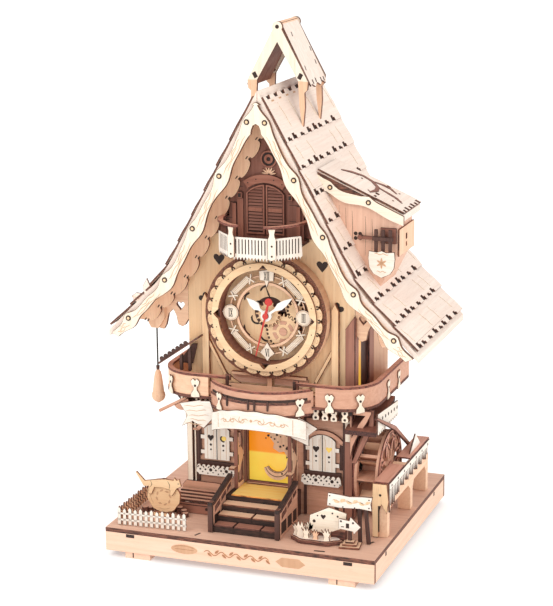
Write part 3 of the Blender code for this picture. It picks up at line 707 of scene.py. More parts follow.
def make_gable_boards():
    half = [(0.0, 323.8), (2.2, 322.6), (3.4, 319.6), (3.9, 316.4)]
    inner = board_run(-1, 15.2, 119.0, 66)
    outer = board_run(1, 120.6, 4.6, 70)
    outline = half + inner + outer + [(3.4, 337.6), (1.6, 339.0), (0.0, 339.4)]
    for word in ("front", "rear"):
        node = f"{word}_gable_boards"
        low, high = span(node)
        thick = high.y - low.y
        trim(f"gable_board_{word}", "cream", front(low.y), thick, mirrored(outline), replaced=(node,))
        lines = engraving(f"board_engraving_{word}", "faint")
        rings = engraving(f"board_studs_{word}")
        caps = Piece(f"board_stud_caps_{word}", "sand", "Z", halo=0)
        level = low.y - PROUD if word == "front" else low.y
        for hand in (1, -1):
            for index, stud in enumerate(STUDS):
                x, z = roof_at(stud, 0.4)
                rings.cut(disc(hand * x, z, 2.1, 10), front(level - 0.3), thick + 0.6 + PROUD)
                caps.cut(disc(hand * x, z, 1.1, 10), front(level - 0.5), thick + 1.0 + PROUD)
                after = STUDS[index + 1] if index + 1 < len(STUDS) else 118.0
                for off, begin, finish in ((-3.4, 0.2, 0.85), (-0.4, 0.3, 0.62), (-1.8, 0.45, 0.95)):
                    run = []
                    for step in range(9):
                        share = begin + (finish - begin) * step / 8
                        x = stud + (after - stud) * share
                        spot = roof_at(x, off + 0.5 * math.sin(step * 1.3 + index))
                        run.append((hand * spot[0], spot[1]))
                    lines.cut(ribbon(run, 0.4), front(level), thick + PROUD)
        close(rings, caps, lines)


BARGE_Y = -29.7  # front face of the scalloped plate


def make_bargeboards():
    """Scalloped plate under each slope, set back behind the gable boards."""
    ticks = (8.6, 16.8, 24.6, 32.7, 40.9, 49.4, 57.7, 66.0, 74.5, 84.0, 95.0, 106.0)
    plate = Piece("scalloped_bargeboards", "tan", "Z")
    rims = Piece("scallop_rims", "sand", "Z", halo=0)
    marks = engraving("scallop_ticks")
    back = span("cuckoo_left_door")[1].y + 0.2
    thick = back - BARGE_Y + 0.9
    for hand in (1, -1):
        outline = [roof_at(112.0, 0.5)] + [roof_at(x, 0.5) for x in (96.0, 80.0, 72.0, 62.0, 4.0)]
        rim = []
        for a, b in zip(ticks, ticks[1:]):
            for step in range(9):
                share = step / 8
                x = a + (b - a) * share
                bulge = math.sqrt(max(0.0, 1 - (2 * share - 1) ** 2))
                outline.append(roof_at(x, -8.4 - 4.0 * bulge))
                if 0 < step < 8:
                    rim.append(roof_at(x, -8.0 - 3.2 * bulge))
            rims.cut(flip(ribbon(rim, 0.4), hand), front(BARGE_Y - PROUD), 0.4)
            rim = []
            x, z = roof_at(b, -8.2)
            for shift in (-1.1, 1.1):
                notch = moved(rect(-0.4, -1.3, 0.4, 1.3), x + shift, z + shift * 0.3, 35.0)
                marks.cut(flip(notch, hand), front(BARGE_Y - PROUD), 0.5)
        plate.cut(flip(outline, hand), front(BARGE_Y), thick)
    close(plate, rims, marks)


# --- cuckoo bay -------------------------------------------------------------------


def make_cuckoo_bay():
    wall = span("upper_front_wall")[0].y
    face = span("cuckoo_door_frame")[0].y
    base = span("cuckoo_balcony_floor")[1].z + 0.3
    lining = [(-53.0, base), (53.0, base), (1.0, 333.0), (-1.0, 333.0)]
    trim("gable_lining", "walnut", front(wall - 0.9), 0.8, lining)
    lines = engraving("gable_lining_lines")
    for x, top in ((34.0, 266.0), (39.0, 258.0), (45.0, 248.0)):
        for hand in (1, -1):
            lines.cut(rect(hand * x - 0.2, base, hand * x + 0.2, top), front(wall - 0.9 - PROUD), 0.3)
    for z in (247.0, 259.0):
        lines.cut(rect(-44.0, z, -29.5, z + 0.4), front(wall - 0.9 - PROUD), 0.3)
        lines.cut(rect(29.5, z, 44.0, z + 0.4), front(wall - 0.9 - PROUD), 0.3)
    for z in (250.0, 262.0, 274.0, 286.0):
        for hand in (1, -1):
            mark = rect(hand * 18.0, z, hand * (18.0 + max(2.0, 30 - (z - 236) * 0.45)), z + 0.35)
            lines.cut(mark, front(face - PROUD), 0.3)
    lines.done()
    posts = Piece("bay_side_posts", "cherry", "Z")
    for x in (-26.0, 24.0):
        posts.cut(rect(x, base, x + 3.0, 262.0), front(face - 2.0), 1.9)
    posts.cut(rect(-22.2, base, -17.6, 270.0), front(face - 1.2), 1.1)
    posts.done()
    arch_z = 256.4
    lintel = band(arc(0.0, arch_z, 28.0, 52.0, 128.0, 18), arc(0.0, arch_z, 21.8, 52.0, 128.0, 18))
    trim("bay_lintel", "cherry", front(face - 2.7), 2.6, lintel, grain="X")
    dots = engraving("bay_dots")
    for angle in (58.0, 74.0, 106.0, 122.0):
        dots.cut(disc(*polar(25.0, angle, arch_z), 0.5, 8), front(face - 2.7 - PROUD), 0.3)
    sconce_x = (-19.9, 19.3)
    for x in sconce_x:
        dots.cut(rect(x - 1.0, 266.6, x + 1.0, 269.4), front(face - 3.2), 0.9)
    dots.done()
    sconces = [rect(x - 2.0, 265.4, x + 2.0, 270.6) for x in sconce_x]
    trim("bay_sconces", "cherry", front(face - 2.6), 2.4, *sconces)
    hub = (2.4, 295.6)
    ring, boss = (disc(*hub, 6.6, 24), disc(*hub, 5.0, 20)), (disc(*hub, 3.6, 20), disc(*hub, 1.5, 12))
    trim("bay_medallion", "cherry", front(face - 1.2), 1.1, ring[0], holes=ring[1:])
    trim("bay_medallion_boss", "cherry", front(face - 1.0), 0.9, boss[0], holes=boss[1:])
    burn("bay_medallion_ground", front(face - 0.3), disc(*hub, 5.0, 20))
    turns = (-82.0, -54.0, -26.0, 0.0, 26.0, 54.0, 82.0)
    rays = [moved(leaf(6.6, 1.7), 2.6, 284.4, turn) for turn in turns]
    trim("bay_sunburst", "tan", front(face - 0.9), 0.8, *rays)
    make_leaf("cuckoo_left_door", "left_leaf", -1)
    make_leaf("cuckoo_right_door", "right_leaf", 1)


def leaf_arch(inset, half, low, top, shoulder):
    """Half of the pair's arched outline, from the meeting stile outward."""
    rise = top - shoulder
    radius = (half * half + rise * rise) / (2 * rise)
    start = math.degrees(math.acos(min(1.0, (half - inset) / radius)))
    stop = math.degrees(math.acos((0.35 + inset) / radius))
    run = arc(0.0, top - inset - radius, radius, start, stop, 8)
    return [(half - inset, low + inset)] + run + [(0.35 + inset, low + inset)]


def make_leaf(node, body, hand):
    """Louvred door leaf: frame, slats, a middle rail and painted shade behind the slats."""
    low, high = span(node)
    half = high.x if hand > 0 else -low.x
    outline = leaf_arch(0.0, half, low.z, high.z, high.z - 7.0)
    opening = leaf_arch(1.7, half, low.z, high.z, high.z - 7.0)
    stiles = Piece(f"{body}_frame", "cherry", "Z", body)
    stiles.cut(flip(outline, hand), front(low.y), 2.0, holes=(flip(opening, hand),))
    stiles.cut(bar(hand * 2.0, 256.6, hand * (half - 1.6), 259.6), front(low.y), 1.8)
    stiles.done(node)
    slats = Piece(f"{body}_slats", "walnut", "X", body, halo=0)
    for index in range(15):
        z = low.z + 2.6 + index * 2.35
        if z > high.z - 3.2:
            break
        reach = half - 1.9
        if z > high.z - 9.0:
            reach = min(reach, math.sqrt(max(4.0, 17.0 ** 2 - (z - (high.z - 18.6)) ** 2)))
        tilt = plane((0, low.y + 0.5, z), (1, 0, 0), (0, 0.55, 0.83))
        slats.cut(bar(hand * 2.1, 0.0, hand * reach, 1.9), tilt, 0.6)
    slats.done()
    # Dark sheet at the back of the leaf: painted shade of the dark box behind the door, seen between the
    # slats.
    trim(f"{body}_shade_behind_slats", "dark", front(high.y - 0.25), 0.25, flip(outline, hand), body=body, halo=0)


BAY_HALF = 15.8  # half the width of the cuckoo's balcony
BAY_DEPTH = 58.3  # its front, in front of the middle of the house


def make_cuckoo_balcony():
    """Picket railing, corner posts, handrails and apron of the cuckoo's small balcony."""
    low, high = span("cuckoo_balcony_railing")
    corners = ((-32.8, -40.7), (-BAY_HALF, -BAY_DEPTH), (BAY_HALF, -BAY_DEPTH), (32.8, -40.7))
    panel = Piece("cuckoo_pickets", "white", "Z", halo=0.12)
    shade = Piece("cuckoo_picket_shadow", "dark", "Z", halo=0)
    for a, b in zip(corners, corners[1:]):
        run = math.hypot(b[0] - a[0], b[1] - a[1])
        turn = math.degrees(math.atan2(b[1] - a[1], b[0] - a[0]))
        pitch = 2.5
        count = int((run - 1.0) / pitch)
        edge = (run - count * pitch) / 2
        outline = []
        slots = []
        for index in range(count):
            u = edge + index * pitch
            outline += [(u + 0.1, low.z + 2.4), (u + 0.7, low.z + 1.4), (u + 1.25, low.z),
                        (u + 1.8, low.z + 1.4)]
            slot = [(u - 0.42, low.z + 4.6), (u + 0.42, low.z + 4.6)]
            slot += arc(u, high.z - 1.8, 0.42, 0.0, 180.0, 4)
            if index:
                slots.append(slot)
        outline.append((run - 0.4, low.z + 2.4))
        outline += arc(run - 2.4, high.z - 1.2, 1.2, 0, 90, 3) + [(0.4, high.z)]
        outline = [(0.4, low.z + 2.4)] + outline
        place = facing(a[0], a[1], 0.0, turn)
        panel.cut(outline, place, 1.2, holes=slots)
        contour = rect(0.8, low.z + 4.0, run - 0.8, high.z - 1.0)
        shade.cut(contour, facing(a[0] * 0.93, a[1] + 2.2, 0.0, turn), 0.3)
    panel.done("cuckoo_balcony_railing")
    shade.done()
    post_y = -59.9
    posts = Piece("cuckoo_balcony_posts", "cream", "Z")
    spots = engraving("cuckoo_post_dots")
    for hand in (-1, 1):
        x = hand * BAY_HALF
        half = [(3.1, 228.5), (3.2, 243.0), (2.2, 245.0), (2.0, 247.0), (2.8, 250.6)]
        place = facing(x, post_y, 0.0, hand * 16)
        posts.cut(mirrored([(0.0, 227.2)] + half), place, 1.3)
        for z in (230.6, 238.0):
            spots.cut(disc(0.0, z, 0.75, 10), facing(x, post_y - PROUD, 0.0, hand * 16), 0.3)
    close(posts, spots)
    rails = Piece("cuckoo_handrails", "rosy", "Y")
    for hand in (-1, 1):
        run = [(31.8, -21.5), (32.6, -36.0), (28.6, -47.0), (21.0, -55.6), (14.0, -60.4), (9.6, -60.8)]
        rails.cut(ribbon(flip(run, hand), 4.2), flat(250.8), 1.6)
    rails.done()
    trim("cuckoo_floor_apron", "dark", front(-55.6), 1.2, rect(-14.6, 233.0, 14.6, 236.2), grain="X")


# --- clock ------------------------------------------------------------------------


def clock_centre():
    low, high = span("clock_drum")
    return (low.z + high.z) / 2


def roman(piece, word, cu, cv, tall, place, thick):
    """Numeral cut as strokes: I upright, V two strokes that meet, X two that cross."""
    widths = {"I": 1.1, "V": 2.3, "X": 2.3}
    total = sum(widths[c] for c in word)
    u = cu - total / 2
    foot, top = cv - tall / 2, cv + tall / 2
    half = 0.22
    for letter in word:
        mid = u + widths[letter] / 2
        strokes = {
            "I": (((mid, foot), (mid, top)),),
            "V": (((mid - 0.85, top), (mid, foot)), ((mid + 0.85, top), (mid + 0.1, foot))),
            "X": (((mid - 0.8, top), (mid + 0.8, foot)), ((mid + 0.8, top), (mid - 0.8, foot))),
        }
        for a, b in strokes[letter]:
            corners = [(a[0] - half, a[1]), (a[0] + half, a[1]), (b[0] + half, b[1]), (b[0] - half, b[1])]
            piece.cut(corners, place, thick)
        for v in (foot, top):
            piece.cut(rect(mid - 0.5, v - 0.14, mid + 0.5, v + 0.14), place, thick)
        u += widths[letter]


SCALLOPS = 26  # along the rim of the bezel


def make_clock():
    """Bezel with its scalloped rim, marks and lining, then the dial and the gearwork."""
    z = clock_centre()
    low = span("clock_bezel")[0]
    ring = Piece("bezel_front_ring", "sand", "X")
    opening = []
    for index in range(180):
        angle = 2.0 * index
        off = abs((angle + 45) % 90 - 45)
        reach = 36.0 + max(0.0, 3.8 - 0.62 * off)
        opening.append(polar(reach, angle, z))
    ring.cut(disc(0.0, z, 41.3, 96), front(low.y), 2.1, holes=(opening,))
    ring.done("clock_bezel")
    scallops = Piece("bezel_scallops", "sand", "X")
    edge = []
    for index in range(SCALLOPS):
        for step in range(8):
            angle = 360.0 * (index + step / 8) / SCALLOPS
            reach = 43.0 + 2.5 * math.sqrt(max(0.0, 1 - (2 * step / 8 - 1) ** 2)) if step else 42.6
            edge.append(polar(reach, angle, z))
    scallops.cut(edge, front(low.y + 2.2), 2.0, holes=(opening,))
    scallops.done()
    rim = front(low.y + 2.2 - PROUD)
    marks = engraving("bezel_marks", grain="X")
    faint = engraving("bezel_lines", "faint", "X")
    for index in range(SCALLOPS):
        angle = 360.0 * index / SCALLOPS
        for twist in (-1.3, 1.3):
            mark = moved(rect(-0.5, -0.9, 0.5, 0.9), *polar(42.6, angle + twist, z), angle - 90)
            marks.cut(mark, rim, 0.3)
        between = angle + 180 / SCALLOPS
        arch = moved(arc(0, 0, 1.5, 0, 180, 6), *polar(43.3, between), between - 90)
        faint.cut(ribbon(lift(arch, z), 0.3), rim, 0.3)
    for index in range(12):
        marks.cut(disc(*polar(38.7, index * 30.0 + 15, z), 0.42, 8), front(low.y - PROUD), 0.3)
    close(marks, faint)
    liner = Piece("bezel_liner", "walnut", "Y", halo=0)
    liner.cut(disc(0.0, z, 37.4, 64), front(low.y + 4.2), 10.6, holes=(disc(0.0, z, 36.3, 64),), swap=True)
    liner.done()
    make_dial(z)
    make_wall_gearwork(z)


SIDE_PLATE = 28.8  # the round plates of III and IX, from the middle


def make_dial(z):
    """Dial rings with spokes, four numeral plates, slanted bars and crossed strokes."""
    low = span("clock_dial")[0]
    ring = Piece("dial_ring", "tan", "X")
    ring.cut(disc(0.0, z, 25.0, 64), front(low.y + 0.6), 1.6, holes=(disc(0.0, z, 22.8, 64),))
    ring.cut(disc(0.0, z, 30.4, 64), front(low.y + 0.8), 1.2, holes=(disc(0.0, z, 29.2, 64),))
    for bearing in range(0, 360, 90):
        spoke = moved(rect(24.5, -1.0, 36.0, 1.0), 0.0, 0.0, bearing)
        ring.cut(lift(spoke, z), front(low.y + 1.2), 1.0)
    ring.done("clock_dial")
    plates = Piece("dial_plates", "cream", "Z")
    place = front(low.y - 0.6)
    outline = [(-5.4, z + 26.4), (-1.8, z + 26.2), (0, z + 21.0), (1.8, z + 26.2), (5.4, z + 26.4),
               (6.0, z + 33.4), (0, z + 34.6), (-6.0, z + 33.4)]
    plates.cut(outline, place, 1.6)
    outline = [(0, z - 20.6), (2.6, z - 25.0), (6.0, z - 29.0), (2.4, z - 32.0), (0, z - 35.6),
               (-2.4, z - 32.0), (-6.0, z - 29.0), (-2.6, z - 25.0)]
    plates.cut(outline, place, 1.6)
    for hand in (-1, 1):
        plates.cut(disc(hand * SIDE_PLATE, z, 6.2, 24), place, 1.6)
        plates.cut([(hand * 34.2, z - 2.4), (hand * 36.0, z), (hand * 34.2, z + 2.4)], front(low.y), 1.4)
    bars = Piece("dial_bars", "cream", "X")
    marks = engraving("dial_numerals")
    faint = engraving("dial_engraving", "faint", "X")
    for bearing in (45.0, 135.0, 225.0, 315.0):
        bar = moved(rect(-8.6, 27.4, 8.6, 31.8), 0.0, 0.0, bearing)
        bars.cut(lift(bar, z), front(low.y - 0.2), 1.2)
        for level in (28.3, 29.6, 30.9):
            line = moved(rect(-7.8, level - 0.12, 7.8, level + 0.12), 0.0, 0.0, bearing)
            faint.cut(lift(line, z), front(low.y - 0.2 - PROUD), 0.3)
        for step in (-1, 1):
            for tilt in (-35, 35):
                cross = moved(rect(-0.55, -4.2, 0.55, 4.2), 0.0, 0.0, tilt)
                cross = moved(lift(cross, 29.6), 0.0, 0.0, bearing + step * 19.0)
                bars.cut(lift(cross, z), front(low.y - 0.7 - 0.2 * (tilt > 0)), 0.9)
    face = front(low.y - 0.6 - PROUD)
    roman(marks, "XII", 0.0, z + 30.0, 6.2, face, 0.3)
    roman(marks, "VI", 0.0, z - 28.6, 5.6, face, 0.3)
    roman(marks, "III", SIDE_PLATE, z, 6.2, face, 0.3)
    roman(marks, "IX", -SIDE_PLATE, z, 6.2, face, 0.3)
    for hand in (-1, 1):
        outline = disc(hand * SIDE_PLATE, z, 5.5, 20)
        faint.cut(outline, face, 0.2, holes=(disc(hand * SIDE_PLATE, z, 5.2, 20),))
    close(plates, bars, marks, faint)


def gear(cu, cv, radius, teeth, depth):
    """Outline of a toothed wheel; depth is the teeth's."""
    points = []
    for index in range(teeth):
        for share, reach in ((-0.25, -depth), (-0.13, 0.0), (0.13, 0.0), (0.25, -depth)):
            angle = 2 * math.pi * (index + share) / teeth
            points.append((cu + (radius + reach) * math.cos(angle),
                           cv + (radius + reach) * math.sin(angle)))
    return points


def make_wall_gearwork(z):
    """Hour wheel on the hands' shaft, the cut-outs in the plate behind the gears, and painted shade behind
    the gears.
    """
    dial_back = span("clock_dial")[1].y
    wall = span("upper_front_wall")[0].y
    hub = disc(0.0, z, 2.6, 16)
    place = front(dial_back + 0.3)
    trim("hour_wheel", "sand", place, 1.2, gear(0.0, z, 10.2, 16, 2.2), grain="X", body="hour",
         holes=(hub,))
    cuts = engraving("movement_plate_cutouts")
    level = front(wall - PROUD)
    for cu, cv, radius, start, stop in (
        (-9.0, 3.0, 5.0, 60.0, 200.0), (-11.0, -5.0, 4.0, 150.0, 330.0), (-2.0, 14.5, 6.0, 95.0, 165.0),
        (8.0, 16.5, 5.0, 10.0, 80.0), (-15.5, 9.0, 5.0, 100.0, 190.0), (-3.0, -17.0, 5.0, 200.0, 280.0),
        (-14.0, -12.0, 7.0, 170.0, 250.0), (16.0, 14.5, 4.0, -20.0, 70.0),
    ):
        cuts.cut(ribbon(arc(cu, z + cv, radius, start, stop, 7), 1.5), level, 0.3)
    cuts.cut(ribbon([(-3.4, z + 19.5), (-1.4, z + 14.0), (0.0, z + 11.5)], 1.4), level, 0.3)
    # Dark discs a little wider than each gear, and a ring behind the hour wheel: painted shade on the wall
    # behind the gearwork.
    shade_discs = Piece("gear_shade_discs", "dark", "X", halo=0)
    for node in ("clock_gear_large", "clock_gear_small"):
        low, high = span(node)
        cu, cv = (low.x + high.x) / 2, (low.z + high.z) / 2
        reach = (high.x - low.x) / 2 + 0.8
        shade_discs.cut(disc(cu, cv, reach, 32), level, 0.3, holes=(disc(cu, cv, 3.2, 16),))
    shade_discs.cut(disc(0.0, z, 12.4, 32), level, 0.25, holes=(disc(0.0, z, 4.6, 16),))
    shade_discs.done()
    for cu, cv in ((-6.0, -1.5), (-8.5, -2.0), (-6.5, 2.5), (18.0, -9.0)):
        cuts.cut(disc(cu, z + cv, 0.9, 10), level, 0.3)
    cuts.done()
    brass = Piece("gear_hub_rings", "rose", "X", "gear_large")
    low, high = span("clock_gear_large")
    cx, cz = (low.x + high.x) / 2, (low.z + high.z) / 2
    brass.cut(disc(cx, cz, 3.2, 16), front(low.y - 0.5), 0.5)
    for turn in range(0, 360, 60):
        hole = arc(0.0, 0.0, 8.4, turn + 8, turn + 52, 6) + arc(0.0, 0.0, 5.6, turn + 52, turn + 8, 6)
        brass.cut(moved(hole, cx, cz), front(low.y - PROUD), 0.2)
    brass.done()


# --- upper wall -------------------------------------------------------------------


BALCONY_LEVEL = 117.0  # the upper wall's trim starts here
ROUND_CLOCK_HEARTS = (
    (-40.6, 216.5, 7.4, 0), (40.8, 216.5, 7.4, 0), (-53.0, 185.5, 7.0, 40), (53.0, 185.5, 7.0, -40),
)


def make_upper_wall():
    low = span("upper_front_wall")[0]
    face = low.y
    hearts = [moved(heart(0, 0, size), cu, cv, turn) for cu, cv, size, turn in ROUND_CLOCK_HEARTS]
    burn("upper_wall_hearts", front(face - PROUD), *hearts)
    posts = Piece("upper_wall_posts", "sand", "Z")
    top = 184.0
    for hand in (-1, 1):
        half = [(2.9, BALCONY_LEVEL), (2.9, top), (0.0, top + 6.0)]
        post = moved(mirrored([(0.0, BALCONY_LEVEL)] + half), hand * 51.5, 0.0)
        posts.cut(post, front(face - 3.2), 3.1)
        outline = moved(rect(-1.3, -15.5, 1.3, 15.5), hand * 42.3, 139.5, hand * -28.0)
        posts.cut(outline, front(face - 2.3), 2.2)
        outline = moved(rect(-1.2, -9.0, 1.2, 9.0), hand * 28.5, 123.0, hand * -58.0)
        posts.cut(outline, front(face - 2.3), 2.2)
    posts.cut(rect(-48.0, BALCONY_LEVEL, 48.0, 119.4), front(face - 2.3), 2.2)
    posts.done()
    apron = Piece("upper_wall_apron", "tan", "X")
    apron.cut(rect(-2.0, BALCONY_LEVEL, 2.0, 131.0), front(face - 3.6), 1.3)
    apron.cut(rect(-30.0, 129.0, 30.0, 131.6), front(face - 5.2), 3.0)
    apron.cut(rect(-34.0, BALCONY_LEVEL, 34.0, 122.0), front(face - 3.4), 0.9)
    apron.done()
    trim("upper_wall_panels", "deck", front(face - 1.0), 0.9, rect(-30.0, 122.4, -3.0, 128.6),
         rect(3.0, 122.4, 30.0, 128.6), grain="X", halo=0)
    make_right_corner(face)
    make_eave_brackets(face)


def make_right_corner(face):
    """Corner post, lit strip and second post of the right side wall."""
    wall = span("upper_right_wall")[1].x
    post = Piece("right_corner_post", "rosewalnut", "Z")
    outline = [(59.6, BALCONY_LEVEL), (66.6, BALCONY_LEVEL), (66.6, 181.0), (59.6, 171.0)]
    post.cut(outline, front(face - 3.2), 3.1)
    outline = [(-23.6, BALCONY_LEVEL), (-16.0, BALCONY_LEVEL), (-16.0, 176.0), (-23.6, 181.0)]
    post.cut(outline, side(wall + 0.1), 1.4)
    post.cut(rect(6.5, BALCONY_LEVEL, 16.5, 171.0), side(wall + 0.1), 3.0)
    outline = [(18.5, BALCONY_LEVEL), (22.5, BALCONY_LEVEL), (22.5, 160.0), (18.5, 168.0)]
    post.cut(outline, side(wall + 0.1), 1.6)
    post.done()
    pane = rect(-14.6, BALCONY_LEVEL, -7.4, 172.0)
    strip = trim("side_light_strip", "cream", side(wall + 0.1), 0.5, pane, halo=0)
    glow = glow_material("side_light", (255, 212, 84), (236, 156, 60), 140.0, 30.0, 0.6)
    paint(strip, glow)
    trim("side_window_shade", "dark", side(wall + 0.1), 0.5, rect(-7.2, BALCONY_LEVEL, 6.3, 170.0), halo=0)


def make_eave_brackets(face):
    """Shaped ends of the upper wall under the eaves, with a heart cut through the left one."""
    inner = span("upper_front_wall")[1].x
    plates = Piece("eave_brackets", "tan", "X")
    lobes = [(inner, 205.0), (inner, 168.0), (inner + 3.0, 163.0), (inner + 5.6, 161.5),
             (inner + 9.0, 163.0)]
    lobes += [(inner + 10.4, 170.0), (inner + 12.8, 174.6), (inner + 16.5, 171.0), (inner + 18.5, 162.0)]
    lobes += [(inner + 20.5, 158.4), (inner + 24.0, 158.6), (inner + 26.5, 163.5)]
    lobes += [roof_at(x, -0.6) for x in (94.0, 86.0, 79.0, 73.0)]
    for hand in (-1, 1):
        cutout = moved(heart(0, 0, 5.4), hand * (inner + 6.6), 178.0, 0.0)
        plates.cut(flip(lobes, hand), front(face + 0.1), 2.8, holes=(cutout,))
    plates.done()


# --- dormer -----------------------------------------------------------------------


def make_dormer():
    """Fascia, planks and branch engraving of the dormer's roof."""
    walls_low, walls_high = span("dormer_walls")
    roof_low, roof_high = span("dormer_roof")
    slope = 0.44
    top = roof_high.z

    def under(x):
        return top - 4.8 - slope * (x - roof_low.x) - 0.4

    def along(share):
        return roof_low.x - 0.8 + share * 69.5

    stud_shares = (0.2, 0.62)
    upper, lower = [], []
    for index in range(25):
        share = index / 24
        x = along(share)
        wave = 1.3 * math.sin(share * 13.0)
        sag = 4.6 * swelling(share, 0.3, 0.2)
        left_hump, right_hump = [1.9 * swelling(share, stud, 0.05) for stud in stud_shares]
        upper.append((x, under(x) - sag + 5.0 + left_hump + right_hump))
        lower.append((x, under(x) - sag - 2.0 - 1.7 * swelling(share, 0.1, 0.09) + wave * 0.5))
    trim("dormer_fascia", "cream", front(roof_low.y - 2.0), 2.4, band(lower, upper), grain="X")
    rings = engraving("dormer_studs")
    caps = Piece("dormer_stud_caps", "sand", "Z", halo=0)
    for share in stud_shares:
        x = along(share)
        drop = 4.6 * swelling(share, 0.3, 0.2) - 2.6
        rings.cut(disc(x, under(x) - drop, 2.0, 10), front(roof_low.y - 2.4), 0.5)
        caps.cut(disc(x, under(x) - drop, 1.0, 10), front(roof_low.y - 2.6), 0.5)
    close(rings, caps)
    climb = Vector((-1, 0, slope)).normalized()
    outer = Vector((roof_high.x + 0.4, roof_low.y + 0.8, top - slope * (roof_high.x - roof_low.x) + 0.35))
    length = roof_high.y - roof_low.y - 1.0
    planks = Piece("dormer_planks", "blush", "Y")
    unders = engraving("dormer_plank_shadows", grain="Y")
    marks = Piece("dormer_engraving", "walnut", "Y", halo=0)
    place = plane(outer, (0, 1, 0), climb)
    for index, (a, b) in enumerate(((0.0, 25.0), (24.0, 49.0), (48.0, 72.0))):
        outline = [(0.3 * index, a)]
        if index < 2:
            for tooth in range(6):
                u = 2.4 + tooth * 7.2
                if index == 1 and 1 < tooth < 5:
                    continue
                depth = (2.6, 3.8)[tooth % 2]
                outline += [(u, a), (u + 0.6, a + depth), (u + 3.8, a + depth), (u + 3.2, a)]
        outline += [(length - 0.4 * index, a), (length + 0.7, (a + b) / 2), (length - 0.2, b), (0.6, b)]
        lifted = plane(outer + Vector((slope, 0, 1)).normalized() * (0.5 - index * 0.12), (0, 1, 0), climb)
        planks.cut(outline, lifted, 1.1)
        unders.cut(rect(0.8, a + 0.6, length - 0.8, a + 5.0), place, 0.45)
    branch = [
        [(24.0, 61.0), (31.0, 54.0), (35.0, 46.0), (33.0, 38.0), (26.0, 31.0), (17.0, 29.0), (6.0, 31.0)],
        [(33.0, 38.0), (37.0, 30.0), (37.0, 24.0), (32.0, 17.0)],
        [(26.0, 31.0), (24.0, 22.0), (22.0, 14.0), (17.0, 8.0)],
    ]
    for points in branch:
        marks.cut(ribbon(points, 3.4), place, 1.9)
    for u, v in ((9.0, 33.0), (13.0, 14.0), (28.0, 45.0), (36.0, 16.0), (20.0, 10.0)):
        marks.cut(disc(u, v, 0.8, 8), place, 1.9)
    close(planks, unders, marks)
    make_dormer_front(walls_low, walls_high)


def make_dormer_front(low, high):
    """Marks on the dormer's front wall, its hanging shield sign and its end frame."""
    clover = engraving("dormer_clover")
    for du in (-1.7, 1.7):
        for dv in (-1.7, 1.7):
            clover.cut(disc(66.4 + du, 240.0 + dv, 1.45, 10), front(low.y - PROUD), 0.3)
    for x in (52.0, 57.0, 62.0, 72.0, 77.0):
        line = [(x, 262.0 - (x - 52) * 0.35), (x + 0.4, 245.0), (x, 228.0 - (x - 60) * 0.2)]
        clover.cut(ribbon(line, 0.28), front(low.y - PROUD * 0.6), 0.2)
    clover.done()
    arm = Piece("sign_arm", "walnut", "X")
    arm.cut(rect(67.5, 238.6, 90.0, 241.0), front(low.y - 3.6), 2.0)
    arm.cut(disc(69.0, 239.8, 1.9, 14), front(low.y - 3.8), 3.6)
    arm.cut(rect(84.0, 236.0, 96.0, 247.5), front(low.y - 1.8), 1.6)
    arm.done()
    straps = Piece("sign_straps", "dark", "Z")
    for x in (80.5, 85.8, 91.2):
        straps.cut(rect(x, 230.0, x + 2.6, 247.0), front(low.y - 6.0), 1.2)
    straps.cut(rect(79.5, 238.8, 95.0, 241.6), front(low.y - 7.2), 1.1)
    straps.done()
    half = [(6.5, 214.6), (9.4, 219.0), (10.2, 226.0), (9.6, 231.4), (3.6, 230.6), (0.0, 231.8)]
    x = 86.8
    trim("sign_shield", "white", front(low.y - 8.0), 1.4, moved(mirrored([(0.0, 211.6)] + half), x, 0.0),
         grain="X")
    vines = engraving("sign_ornament", "faint", "X")
    for turn in range(0, 360, 60):
        vines.cut(moved(leaf(4.2, 1.7), x, 222.6, turn), front(low.y - 8.0 - PROUD), 0.3)
    for level, reach in ((229.4, 5.4), (216.4, 3.6)):
        line = wavy((x - reach, level), (x + reach, level), 10, 0.4, 2.0)
        vines.cut(ribbon(line, 0.5), front(low.y - 8.0 - PROUD), 0.3)
    vines.done()
    end = rect(low.y - 0.4, 226.5, high.y + 1.5, 246.5)
    windows = (rect(2.0, 231.0, 4.6, 234.0), rect(1.6, 236.4, 5.0, 240.4))
    trim("dormer_end_frame", "tan", side(high.x + 0.1), 1.4, end, holes=windows)


# --- turret -----------------------------------------------------------------------


